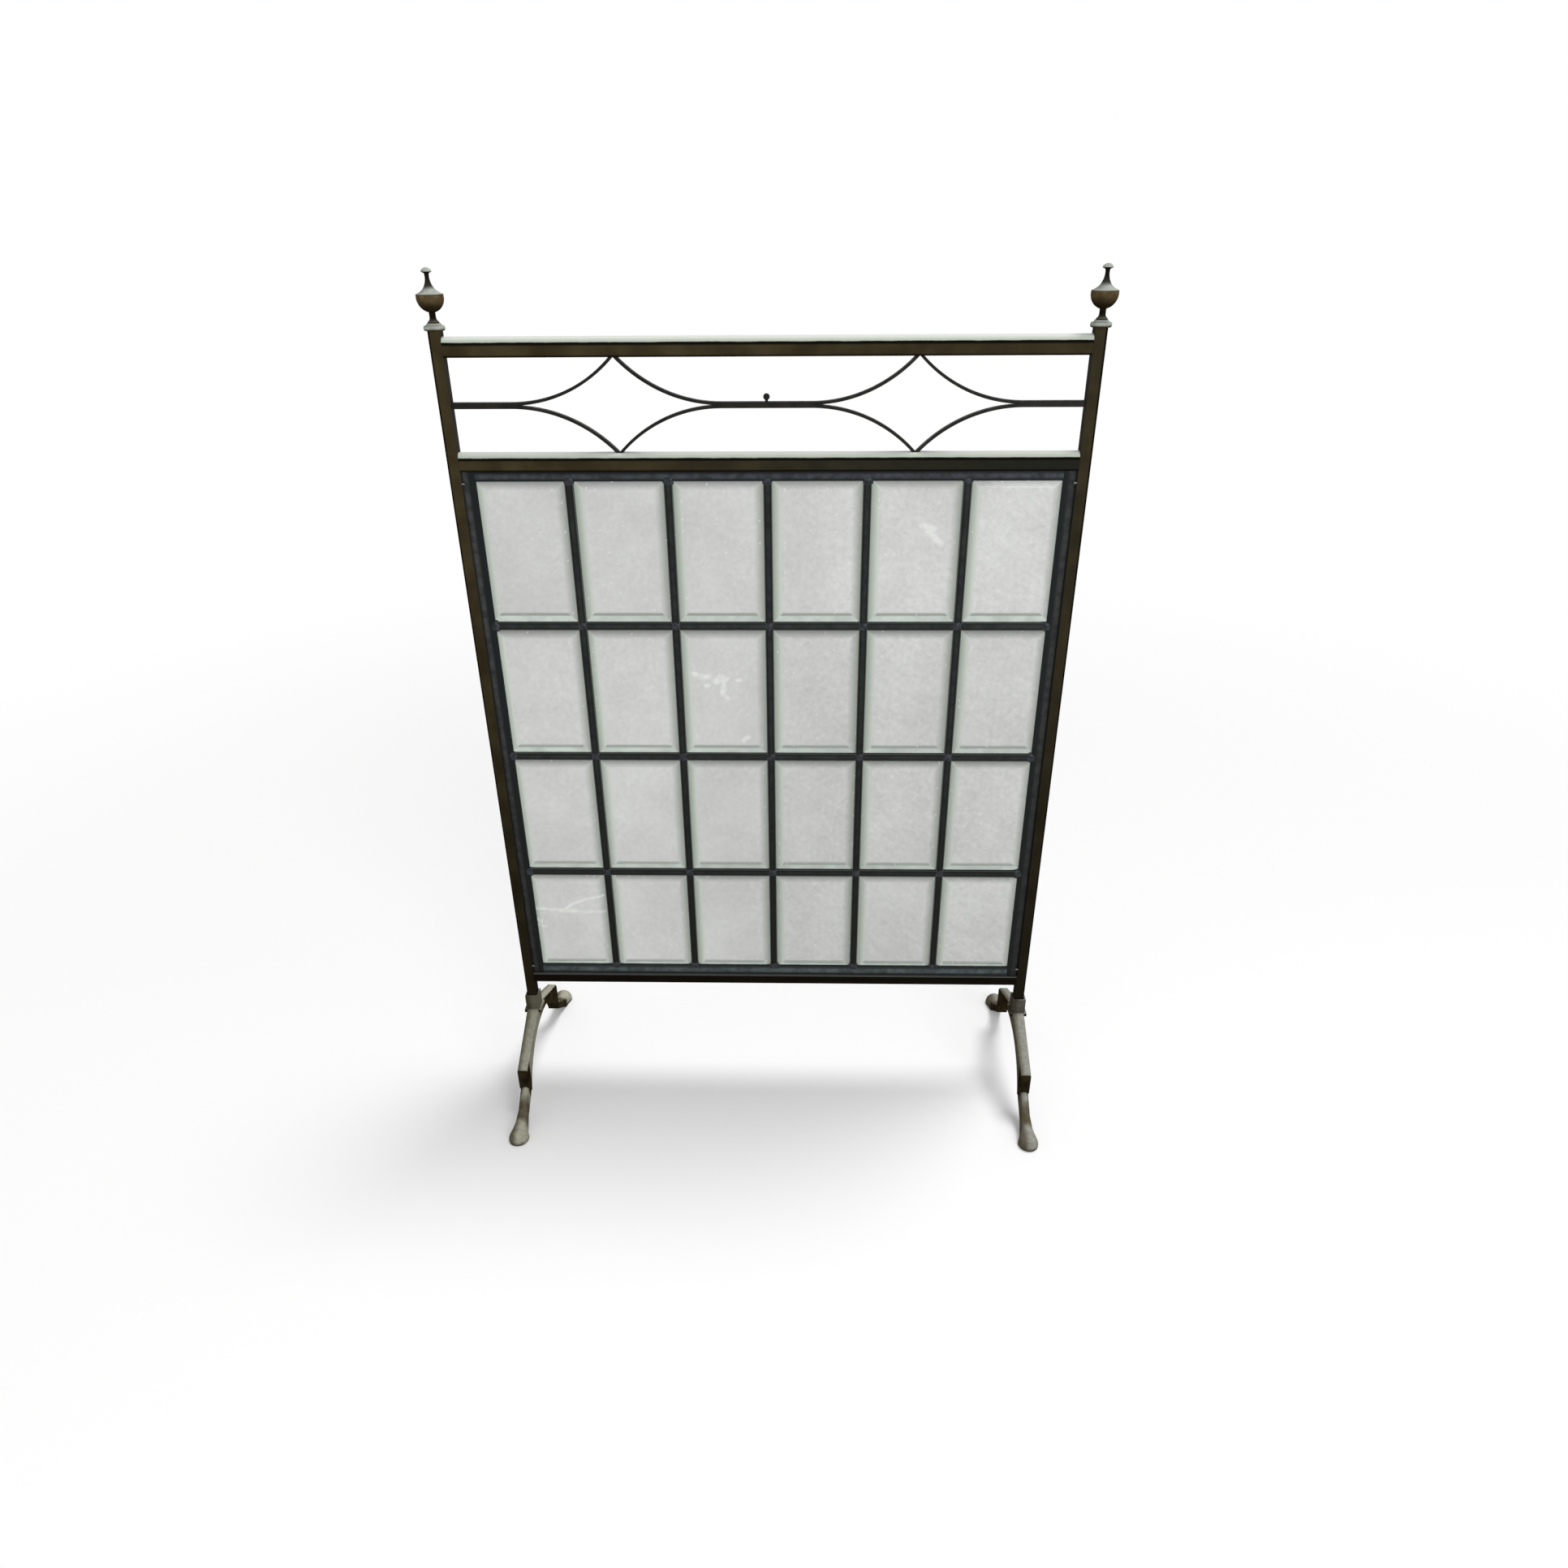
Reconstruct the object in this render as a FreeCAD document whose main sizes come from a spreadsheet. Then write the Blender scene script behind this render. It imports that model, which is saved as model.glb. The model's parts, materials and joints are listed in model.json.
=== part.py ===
import FreeCAD, Part
import os
import Sketcher

# Free-standing fire screen: a leaded panel of bevelled panes in a tube frame with a strip lattice,
# urn finials and cast hoof feet. Millimetres, +Z up, +Y to the back, origin on the floor between
# the posts.

SIZES = {
    # Panes, six columns by four rows
    "pane_width": 101.2,
    "top_pane_height": 161.6,
    "pane_height": 158.75,
    "bottom_pane_height": 147.9,
    "pane_thickness": 5.0,
    "bevel_width": 12.7,
    "bevel_depth": 2.0,
    # Lead cames
    "came_face": 9.0,
    "came_heart": 2.0,
    "came_crown": 1.4,
    "came_edge": 0.8,
    "border_lip": 5.3,
    "border_heart": 2.0,
    "border_leaf": 5.9,
    "top_border_leaf": 2.8,
    "glazing_gap": 0.2,
    "cement_gap": 0.1,
    "panel_gap": 0.3,
    # Pins that hold the panel in the posts
    "pin_diameter": 2.4,
    "pin_length": 4.5,
    "pin_inset": 12.0,
    "pin_gap": 0.1,
    # Posts and rails
    "tube": 12.7,
    "tube_wall": 1.6,
    "tube_corner": 0.8,
    "post_round": 3.0,
    "rail_height": 19.05,
    "rail_lift": 31.1,
    "post_overrun": 5.5,
    # Lattice of bent strips
    "lattice_height": 91.05,
    "cusp_offset": 151.3,
    "cusp_run": 105.7,
    "strip_thickness": 3.0,
    "strip_depth": 6.0,
    "bead_diameter": 6.6,
    "bead_stem_diameter": 3.0,
    "bead_stem_height": 1.6,
    # Finials, their flanges and studs
    "stud_diameter": 3.2,
    "stud_engagement": 12.0,
    "bore_clearance": 0.05,
    "bore_spare": 1.0,
    "seat_gap": 0.1,
    "flange_diameter": 19.0,
    "flange_top_diameter": 13.4,
    "flange_height": 6.6,
    "flange_band": 4.4,
    "flange_bulge": 0.8,
    "finial_foot_diameter": 11.0,
    "finial_foot_height": 1.2,
    "finial_stem_diameter": 6.2,
    "finial_stem_height": 9.6,
    "finial_cup_diameter": 26.0,
    "finial_cup_height": 14.8,
    "finial_rim_height": 1.4,
    "finial_shoulder_diameter": 11.6,
    "finial_shoulder_height": 4.4,
    "finial_neck_diameter": 4.6,
    "finial_neck_height": 13.6,
    "finial_button_diameter": 10.4,
    "finial_button_height": 5.2,
    "finial_button_edge": 1.6,
    # Plugs in the tube ends
    "plug_gap": 0.05,
    "top_plug_length": 20.0,
    "foot_plug_length": 25.0,
    # Cast feet
    "saddle_height": 105.0,
    "saddle_width": 22.0,
    "saddle_thickness": 4.0,
    "socket_width": 17.0,
    "socket_height": 21.0,
    "socket_depth": 8.0,
    "socket_gap": 0.3,
    "leg_root_width": 16.0,
    "knee_reach": 88.0,
    "knee_height": 69.0,
    "knee_drop": 30.0,
    "knee_width": 13.6,
    "knee_lap": 2.0,
    "ankle_reach": 114.0,
    "ankle_height": 20.0,
    "ankle_width": 12.4,
    "shank_thickness": 11.0,
    "heel_reach": 122.0,
    "heel_width": 15.6,
    "instep_width": 23.0,
    "instep_height": 13.4,
    "hoof_reach": 138.0,
    "hoof_radius": 12.5,
    "hoof_height": 15.0,
    "hoof_band": 4.0,
    "sole_edge": 0.8,
    "crown_thickness": 16.0,
    "leg_round": 3.0,
    # Bolts through the feet
    "bolt_diameter": 5.0,
    "bolt_gap": 0.25,
    "bolt_engagement": 20.0,
    "bolt_head_diameter": 9.0,
    "bolt_head_height": 3.4,
    "counterbore_gap": 0.6,
    "counterbore_depth": 4.0,
}

# Places that follow from the sizes. Names ending in _x, _y and _z are coordinates.
LAYOUT = {
    # Through the panel's thickness
    "lip_glass": "sizes.bevel_depth * min(sizes.border_lip; sizes.bevel_width) / sizes.bevel_width",
    "channel": "sizes.pane_thickness - sizes.bevel_depth + lip_glass + 2 * sizes.cement_gap",
    "came_face_y": "channel / 2 + sizes.came_crown",
    "pane_back_y": "channel / 2 - sizes.cement_gap",
    "pin_y": "came_face_y + sizes.pin_gap + sizes.pin_diameter / 2",
    # Across the screen
    "column_pitch": "sizes.pane_width + 2 * sizes.glazing_gap + sizes.came_heart",
    "border_heart_x": "3 * column_pitch - sizes.came_heart / 2",
    "sight_x": "border_heart_x - sizes.border_lip",
    "panel_x": "border_heart_x + sizes.border_heart + sizes.border_leaf",
    "inner_x": "panel_x + sizes.panel_gap",
    "post_x": "inner_x + sizes.tube / 2",
    # Up the screen
    "post_bottom_z": "sizes.saddle_height + sizes.socket_height - sizes.socket_depth",
    "bottom_rail_z": "post_bottom_z + sizes.rail_lift",
    "panel_bottom_z": "bottom_rail_z + sizes.tube + sizes.panel_gap",
    "bottom_heart_z": "panel_bottom_z + sizes.border_leaf + sizes.border_heart",
    "sight_bottom_z": "bottom_heart_z + sizes.border_lip",
    "half_joint": "sizes.glazing_gap + sizes.came_heart / 2",
    "row_pitch": "sizes.pane_height + 2 * half_joint",
    "row_3_z": "bottom_heart_z + sizes.glazing_gap + sizes.bottom_pane_height + half_joint",
    "row_2_z": "row_3_z + row_pitch",
    "row_1_z": "row_2_z + row_pitch",
    "top_heart_z": "row_1_z + half_joint + sizes.top_pane_height + sizes.glazing_gap",
    "sight_top_z": "top_heart_z - sizes.border_lip",
    "panel_top_z": "top_heart_z + sizes.border_heart + sizes.top_border_leaf",
    "second_rail_z": "panel_top_z + sizes.panel_gap",
    "lattice_z": "second_rail_z + sizes.rail_height + sizes.lattice_height / 2",
    "top_rail_z": "second_rail_z + sizes.rail_height + sizes.lattice_height",
    "post_top_z": "top_rail_z + sizes.rail_height + sizes.post_overrun",
    "finial_z": "post_top_z + sizes.flange_height + sizes.seat_gap",
    # Lattice curves, measured from the lattice's middle line
    "half_lattice": "sizes.lattice_height / 2",
    "split_x": "sizes.cusp_offset + sizes.cusp_run",
    "merge_x": "sizes.cusp_offset - sizes.cusp_run",
    "strip_radius": "(sizes.cusp_run^2 + half_lattice^2) / (2 * half_lattice)",
    "cope": "sizes.tube / 2 - sqrt(sizes.tube^2 / 4 - sizes.strip_depth^2 / 4)",
    # Stations up the finial
    "bowl_top": "sizes.finial_stem_height + sizes.finial_cup_height",
    "rim_top": "bowl_top + sizes.finial_rim_height",
    "neck_bottom": "rim_top + sizes.finial_shoulder_height",
    "neck_top": "neck_bottom + sizes.finial_neck_height",
    "finial_top": "neck_top + sizes.finial_button_height",
    # Stations along the foot
    "knee_bottom": "sizes.knee_height - sizes.knee_drop",
    "saddle_bottom": "sizes.saddle_height - sizes.saddle_thickness",
    "arch_z": "sizes.saddle_height - sizes.crown_thickness",
    "bolt_seat_z": "arch_z + sizes.counterbore_depth",
}

# How near to nothing a length or a slope counts as nothing
CLOSE = 0.001
COLUMNS = 6
ROW_PLACES = {
    "row1": ("layout.row_1_z + layout.half_joint + sizes.top_pane_height / 2", "sizes.top_pane_height"),
    "row2": ("(layout.row_1_z + layout.row_2_z) / 2", "sizes.pane_height"),
    "row3": ("(layout.row_2_z + layout.row_3_z) / 2", "sizes.pane_height"),
    "row4": ("layout.row_3_z - layout.half_joint - sizes.bottom_pane_height / 2",
             "sizes.bottom_pane_height"),
}
SIDES = {"left": -1, "right": 1}

doc = FreeCAD.newDocument("glass_fire_screen")
parts = []


def fill_sheet(name, cells, prefix=""):
    """A sheet with one named cell a line."""
    sheet = doc.addObject("Spreadsheet::Sheet", name)
    for row, (alias, content) in enumerate(cells.items(), start=1):
        sheet.set(f"A{row}", alias)
        sheet.set(f"B{row}", f"{prefix}{content}")
        sheet.setAlias(f"B{row}", alias)
    doc.recompute()
    return sheet


sizes = fill_sheet("sizes", SIZES)
layout = fill_sheet("layout", LAYOUT, prefix="=")


def value(expression):
    """The number that an expression over the two sheets gives."""
    return float(sizes.evalExpression(str(expression)))


def settle(feature):
    """Work out a feature, and stop if it fails."""
    doc.recompute([feature])
    if "Invalid" in feature.State or "Error" in feature.State:
        raise RuntimeError(f"{feature.Name} failed: {feature.getStatusString()}")
    return feature


def bind(thing, **expressions):
    """Tie properties of an object to expressions; a double underscore stands for a dot."""
    for name, expression in expressions.items():
        thing.setExpression(name.replace("__", "."), str(expression))


def place(thing, x="0", y="0", z="0"):
    bind(thing, Placement__Base__x=x, Placement__Base__y=y, Placement__Base__z=z)


def keep(thing):
    """Count an object as a finished sub-part."""
    parts.append(thing)
    return thing


def new_body(label):
    body = doc.addObject("PartDesign::Body", label)
    body.Label = label
    return body


def new_sketch(body, role, lift="0"):
    """A sketch on one of the body's own origin planes, or lifted off it."""
    sketch = body.newObject("Sketcher::SketchObject", f"{body.Name}_sketch")
    plane = next(feature for feature in body.Origin.OriginFeatures if feature.Role == role)
    sketch.AttachmentSupport = [(plane, "")]
    sketch.MapMode = "FlatFace"
    bind(sketch, AttachmentOffset__Base__z=lift)
    return sketch


def dimension(sketch, geometry, point, x, y):
    """Dimension a sketch point from the sketch's origin."""
    for kind, expression in (("DistanceX", x), ("DistanceY", y)):
        number = sketch.addConstraint(
            Sketcher.Constraint(kind, -1, 1, geometry, point, value(expression)))
        name = f"{kind}_{number}"
        sketch.renameConstraint(number, name)
        sketch.setExpression(f"Constraints.{name}", str(expression))


def outline(sketch, corners):
    """A closed outline. A corner is (x, y), reached by a line, or (x, y, via_x, via_y), by an arc."""
    first = sketch.GeometryCount
    previous = corners[-1]
    for corner in corners:
        start = FreeCAD.Vector(value(previous[0]), value(previous[1]), 0)
        end = FreeCAD.Vector(value(corner[0]), value(corner[1]), 0)
        if len(corner) == 2:
            sketch.addGeometry(Part.LineSegment(start, end))
        else:
            via = FreeCAD.Vector(value(corner[2]), value(corner[3]), 0)
            sketch.addGeometry(Part.Arc(start, via, end))
        previous = corner
    last = sketch.GeometryCount - 1
    ends = [end_of(sketch, first + step, corner) for step, corner in enumerate(corners)]
    for step, corner in enumerate(corners):
        geometry = first + step
        following = first if geometry == last else geometry + 1
        start_points = {1: 2, 2: 1}
        joined = start_points[ends[(step + 1) % len(corners)]]
        sketch.addConstraint(
            Sketcher.Constraint("Coincident", geometry, ends[step], following, joined))
        dimension(sketch, geometry, ends[step], corner[0], corner[1])
    for step, corner in enumerate(corners):
        if len(corner) == 4:
            hold_arc(sketch, first + step, corner[2], corner[3])


def cap(radius, low, top):
    """The corner that closes a turned outline with a round cap centred on the axis."""
    rise = f"(({top}) - ({low}))"
    ball = f"((({radius})^2 + {rise}^2) / (2 * {rise}))"
    return ("0", top, f"({radius}) / 2", f"({top}) - {ball} + sqrt({ball}^2 - ({radius})^2 / 4)")


def end_of(sketch, geometry, corner):
    """Which end of a curve, 1 or 2, lies at its corner."""
    target = FreeCAD.Vector(value(corner[0]), value(corner[1]), 0)
    gaps = {point: sketch.getPoint(geometry, point).distanceToPoint(target) for point in (1, 2)}
    return min(gaps, key=gaps.get)


def hold_arc(sketch, geometry, via_x, via_y):
    """Make an arc pass through a dimensioned point."""
    point = FreeCAD.Vector(value(via_x), value(via_y), 0)
    marker = sketch.addGeometry(Part.Point(point), True)
    dimension(sketch, marker, 1, via_x, via_y)
    sketch.addConstraint(Sketcher.Constraint("PointOnObject", marker, 1, geometry))


def rectangle(sketch, width, height, low="0"):
    """A rectangle about the sketch's upright axis, standing on a low line."""
    top = f"{low} + {height}"
    right = f"({width}) / 2"
    left = f"-({width}) / 2"
    outline(sketch, [(left, low), (right, low), (right, top), (left, top)])


def circle(sketch, x, y, diameter):
    centre = FreeCAD.Vector(value(x), value(y), 0)
    geometry = sketch.addGeometry(Part.Circle(centre, FreeCAD.Vector(0, 0, 1), value(diameter) / 2))
    dimension(sketch, geometry, 3, x, y)
    number = sketch.addConstraint(Sketcher.Constraint("Diameter", geometry, value(diameter)))
    sketch.renameConstraint(number, f"diameter_{number}")
    sketch.setExpression(f"Constraints.diameter_{number}", str(diameter))


def pad(body, sketch, length, symmetric=False):
    feature = body.newObject("PartDesign::Pad", f"{body.Name}_pad")
    feature.Profile = sketch
    feature.SideType = "Symmetric" if symmetric else "One side"
    bind(feature, Length=length)
    return settle(feature)


def pocket(body, sketch, length=None, reverse=False):
    """Cut a sketch out of a body, through everything when no length is given."""
    before = body.Tip.Shape.Volume
    feature = body.newObject("PartDesign::Pocket", f"{body.Name}_pocket")
    feature.Profile = sketch
    feature.Reversed = reverse
    if length is None:
        feature.SideType = "Symmetric"
        feature.Type = "ThroughAll"
    else:
        bind(feature, Length=length)
    settle(feature)
    if not feature.Shape.Volume < before:
        raise RuntimeError(f"{body.Label}: {feature.Name} cuts nothing")
    return feature


def revolve(body, sketch):
    """Turn a sketch about the body's Z axis."""
    feature = body.newObject("PartDesign::Revolution", f"{body.Name}_turned")
    feature.Profile = sketch
    feature.ReferenceAxis = (sketch, ["V_Axis"])
    return settle(feature)


def edge_names(shape, wanted):
    return [f"Edge{number}" for number, edge in enumerate(shape.Edges, start=1) if wanted(edge)]


def round_edges(body, base, wanted, radius):
    """Fillet the edges of a feature that pass a test."""
    feature = body.newObject("PartDesign::Fillet", f"{body.Name}_round")
    feature.Base = (base, edge_names(base.Shape, wanted))
    bind(feature, Radius=radius)
    return settle(feature)


def runs_along(edge, axis):
    """Whether an edge is a straight line along an axis."""
    if not isinstance(edge.Curve, Part.Line):
        return False
    return edge.tangentAt(edge.FirstParameter).cross(axis).Length < CLOSE


def group(label, members):
    """Separate solids that share one name."""
    compound = doc.addObject("Part::Compound", label)
    compound.Label = label
    compound.Links = members
    return keep(compound)


def cylinder(name, diameter, height):
    thing = doc.addObject("Part::Cylinder", name)
    bind(thing, Radius=f"({diameter}) / 2", Height=height)
    return thing


# Tube frame

def make_post(side, sign):
    """A square tube with a rounder outer side, drilled on its inner wall for the panel pins."""
    body = new_body(f"{side}_post")
    sketch = new_sketch(body, "XY_Plane")
    rectangle(sketch, "sizes.tube", "sizes.tube", low="-sizes.tube / 2")
    bore = "(sizes.tube - 2 * sizes.tube_wall)"
    rectangle(sketch, bore, bore, low=f"-{bore} / 2")
    tube = pad(body, sketch, "layout.post_top_z - layout.post_bottom_z")
    reach = value("sizes.tube / 2")
    upright = FreeCAD.Vector(0, 0, 1)
    for x, radius in ((-reach, "sizes.post_round"), (reach, "sizes.tube_corner")):
        tube = round_edges(
            body, tube,
            lambda edge: runs_along(edge, upright) and abs(edge.CenterOfMass.x - x) < CLOSE,
            radius)
    holes = new_sketch(body, "YZ_Plane")
    for pin_y in ("-layout.pin_y", "layout.pin_y"):
        for pin_z in ("layout.panel_bottom_z + sizes.pin_inset", "layout.panel_top_z - sizes.pin_inset"):
            circle(holes, pin_y, f"{pin_z} - layout.post_bottom_z", "sizes.pin_diameter")
    pocket(body, holes, "sizes.tube", reverse=True)
    body.Placement.Rotation = FreeCAD.Rotation(upright, 0 if sign < 0 else 180)
    place(body, x=f"{sign} * layout.post_x", z="layout.post_bottom_z")
    keep(body)


def make_round_rail(label, z):
    """A tube with a half-round top, between the posts."""
    body = new_body(label)
    sketch = new_sketch(body, "YZ_Plane")
    for wall in ("0", "sizes.tube_wall"):
        half = f"(sizes.tube / 2 - {wall})"
        spring = "sizes.rail_height - sizes.tube / 2"
        crown = f"sizes.rail_height - {wall}"
        outline(sketch, [
            (f"-{half}", wall),
            (half, wall),
            (half, spring),
            (f"-{half}", spring, "0", crown),
        ])
    tube = pad(body, sketch, "2 * layout.inner_x", symmetric=True)
    across = FreeCAD.Vector(1, 0, 0)
    round_edges(
        body, tube,
        lambda edge: runs_along(edge, across) and abs(edge.CenterOfMass.z) < CLOSE,
        "sizes.tube_corner")
    place(body, z=z)
    keep(body)


def make_bottom_rail():
    body = new_body("bottom_rail")
    sketch = new_sketch(body, "YZ_Plane")
    rectangle(sketch, "sizes.tube", "sizes.tube")
    bore = "(sizes.tube - 2 * sizes.tube_wall)"
    rectangle(sketch, bore, bore, low="sizes.tube_wall")
    tube = pad(body, sketch, "2 * layout.inner_x", symmetric=True)
    across = FreeCAD.Vector(1, 0, 0)
    reach = value("sizes.tube / 2")
    round_edges(
        body, tube,
        lambda edge: runs_along(edge, across) and abs(abs(edge.CenterOfMass.y) - reach) < CLOSE,
        "sizes.tube_corner")
    place(body, z="layout.bottom_rail_z")
    keep(body)


# Lattice

def strip_edge(offset, rise):
    """How far along its run a strip edge has come when it has risen to a height."""
    radius = f"(layout.strip_radius - {offset})"
    return f"sqrt({radius}^2 - (layout.strip_radius - ({rise}))^2)"


def strip_rise(offset, run):
    """How high a strip edge is after a run."""
    return f"(layout.strip_radius - sqrt((layout.strip_radius - {offset})^2 - ({run})^2))"


def make_strip(label, level, corners):
    """A flat strip on edge. Lower strips are coped to the second rail's crown."""
    body = new_body(label)
    sketch = new_sketch(body, "XZ_Plane")
    outline(sketch, corners)
    pad(body, sketch, "sizes.strip_depth", symmetric=True)
    if level < 0:
        crown = new_sketch(body, "YZ_Plane")
        circle(crown, "0", "-layout.half_lattice - sizes.tube / 2", "sizes.tube")
        pocket(body, crown)
    place(body, z="layout.lattice_z")
    keep(body)


def strip_curve(level, sign, spring_x, direction):
    """Corners of a strip's curved stretch, from the middle line out to its mitred cusp and back."""
    cope = "0" if level > 0 else "layout.cope"
    top = f"(layout.half_lattice + {cope})"
    half_run = "sizes.cusp_run / 2"

    def at(run, rise):
        return (f"{sign} * ({spring_x} + {direction} * ({run}))", f"{level} * ({rise})")

    low_via = at(half_run, strip_rise("0", half_run))
    high_via = at(half_run, strip_rise("sizes.strip_thickness", half_run))
    corners = [
        at("0", "0"),
        at("sizes.cusp_run", "layout.half_lattice") + low_via,
    ]
    if level < 0:
        corners.append(at("sizes.cusp_run", top))
    corners += [
        at(strip_edge("sizes.strip_thickness", top), top),
        at("0", "sizes.strip_thickness") + high_via,
    ]
    return corners


def reversed_corners(corners):
    """The same open run of corners walked backwards."""
    points = [corner[:2] for corner in corners]
    turned = [points[-1]]
    for step in range(len(corners) - 1, 0, -1):
        turned.append(points[step - 1] + tuple(corners[step][2:]))
    return turned


def make_lattice():
    for name, level in (("upper", 1), ("lower", -1)):
        for side, sign in SIDES.items():
            curve = strip_curve(level, sign, "layout.split_x", -1)
            ends = [
                (f"{sign} * layout.inner_x", f"{level} * sizes.strip_thickness"),
                (f"{sign} * layout.inner_x", "0"),
            ]
            make_strip(f"{name}_{side}_strip", level, curve + ends)
        right = strip_curve(level, 1, "layout.merge_x", 1)
        left = reversed_corners(strip_curve(level, -1, "layout.merge_x", 1))
        make_strip(f"{name}_middle_strip", level, right + left)


def make_bead():
    """A ball on a short stem, standing on the middle bar."""
    body = new_body("lattice_bead")
    sketch = new_sketch(body, "XZ_Plane")
    stem = "sizes.bead_stem_diameter / 2"
    ball = "sizes.bead_diameter / 2"
    centre = f"(sizes.bead_stem_height + sqrt(({ball})^2 - ({stem})^2))"
    outline(sketch, [
        ("0", "0"),
        (stem, "0"),
        (stem, "sizes.bead_stem_height"),
        ("0", f"{centre} + {ball}", ball, centre),
    ])
    revolve(body, sketch)
    place(body, z="layout.lattice_z + sizes.strip_thickness")
    keep(body)


# Finials

# Where each turned curve passes on its way, as shares of its way out and its way up
FLANGE_HOLLOW = (0.7, 0.3)
STEM_HOLLOW = (0.75, 0.4)
BOWL_SWELL = (0.74, 0.34)
SHOULDER_FALL = (0.54, 0.4)
NECK_HOLLOW = (0.78, 0.36)


def between(start, end, share):
    return f"(({start}) + (({end}) - ({start})) * {share})"


def curved(start, end, shares):
    """A corner reached by an arc from the corner before it."""
    return end + tuple(between(low, high, share) for low, high, share in zip(start, end, shares))


def make_flange(side, sign):
    """A turned collar on the post top, with a hole for the stud."""
    body = new_body(f"{side}_finial_flange")
    sketch = new_sketch(body, "XZ_Plane")
    bore = "sizes.stud_diameter / 2 + sizes.bore_clearance"
    rim = "sizes.flange_diameter / 2"
    band = (rim, "sizes.flange_band")
    top = ("sizes.flange_top_diameter / 2", "sizes.flange_height")
    outline(sketch, [
        (bore, "0"),
        (rim, "0"),
        band + (f"{rim} + sizes.flange_bulge", "sizes.flange_band / 2"),
        curved(band, top, FLANGE_HOLLOW),
        (bore, "sizes.flange_height"),
    ])
    revolve(body, sketch)
    place(body, x=f"{sign} * layout.post_x", z="layout.post_top_z")
    keep(body)


def make_finial(side, sign):
    """An urn turned in one piece, bored from below for its stud."""
    body = new_body(f"{side}_finial")
    sketch = new_sketch(body, "XZ_Plane")
    bore = "sizes.stud_diameter / 2 + sizes.bore_clearance"
    bore_top = "sizes.stud_engagement + sizes.bore_spare"
    button = "sizes.finial_button_diameter / 2"
    button_edge = "layout.neck_top + sizes.finial_button_edge"
    foot = ("sizes.finial_foot_diameter / 2", "sizes.finial_foot_height")
    stem = "sizes.finial_stem_diameter / 2"
    waist = (stem, "(sizes.finial_foot_height + sizes.finial_stem_height) / 2")
    stem_top = (stem, "sizes.finial_stem_height")
    cup = "sizes.finial_cup_diameter / 2"
    rim = (cup, "layout.rim_top")
    shoulder = ("sizes.finial_shoulder_diameter / 2", "layout.neck_bottom")
    outline(sketch, [
        (bore, "0"),
        (foot[0], "0"),
        foot,
        curved(foot, waist, STEM_HOLLOW),
        stem_top,
        curved(stem_top, (cup, "layout.bowl_top"), BOWL_SWELL),
        rim,
        curved(rim, shoulder, SHOULDER_FALL),
        curved(shoulder, ("sizes.finial_neck_diameter / 2", "layout.neck_top"), NECK_HOLLOW),
        (button, button_edge),
        cap(button, button_edge, "layout.finial_top"),
        ("0", bore_top),
        (bore, bore_top),
    ])
    revolve(body, sketch)
    place(body, x=f"{sign} * layout.post_x", z="layout.finial_z")
    keep(body)


def make_studs():
    studs = []
    for side, sign in SIDES.items():
        stud = cylinder(f"{side}_finial_stud", "sizes.stud_diameter",
                        "layout.finial_z + sizes.stud_engagement - layout.post_top_z "
                        "+ sizes.top_plug_length")
        place(stud, x=f"{sign} * layout.post_x", z="layout.post_top_z - sizes.top_plug_length")
        studs.append(stud)
    group("finial_studs", studs)


def make_plugs(label, length, bore, z):
    """Square plugs that fill the tube ends, bored through for a stud or bolt."""
    plugs = []
    width = "sizes.tube - 2 * sizes.tube_wall - 2 * sizes.plug_gap"
    for side, sign in SIDES.items():
        block = doc.addObject("Part::Box", f"{side}_{label}_block")
        bind(block, Length=width, Width=width, Height=length)
        place(block, x=f"{sign} * layout.post_x - ({width}) / 2", y=f"-({width}) / 2", z=z)
        hole = cylinder(f"{side}_{label}_hole", bore, length)
        place(hole, x=f"{sign} * layout.post_x", z=z)
        plug = doc.addObject("Part::Cut", f"{side}_{label}")
        plug.Base = block
        plug.Tool = hole
        plugs.append(plug)
    group(label, plugs)


# Feet

# Foot coordinates are reach from the post's axis and height above the floor.
SHANK_FALL = "(layout.knee_bottom - sizes.ankle_height)"
SHANK_RUN = "(sizes.ankle_reach - sizes.knee_reach)"
SHANK_SLANT = f"sqrt({SHANK_FALL}^2 + {SHANK_RUN}^2)"
UNDER_REACH = f"(sizes.shank_thickness * {SHANK_FALL} / {SHANK_SLANT})"
UNDER_DROP = f"(sizes.shank_thickness * {SHANK_RUN} / {SHANK_SLANT})"
BACK_REACH = f"(sizes.knee_reach - {UNDER_REACH})"
BACK_HEIGHT = f"(layout.knee_bottom - {UNDER_DROP})"
# Where a lower leg's sides turn into its round top, as a share of its height
SHOULDER_SHARE = 0.6


def thigh_outline():
    """Saddle and both thighs down to the knees, seen along the screen, over a round arch."""
    front = [
        ("sizes.saddle_width / 2", "sizes.saddle_height"),
        ("sizes.knee_reach", "sizes.knee_height"),
        ("sizes.knee_reach", "layout.knee_bottom"),
        (BACK_REACH, BACK_HEIGHT),
    ]
    back = [(f"-({reach})", height) for reach, height in reversed(front)]
    back[0] = back[0] + ("0", "layout.arch_z")
    return front + back


def thigh_plan():
    root = "sizes.leg_root_width / 2"
    knee = "sizes.knee_width / 2"
    front = [
        (root, "sizes.saddle_width / 2"),
        (knee, "sizes.knee_reach"),
        (f"-{knee}", "sizes.knee_reach"),
        (f"-{root}", "sizes.saddle_width / 2"),
    ]
    return front + [tuple(f"-({item})" for item in corner) for corner in front]


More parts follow.
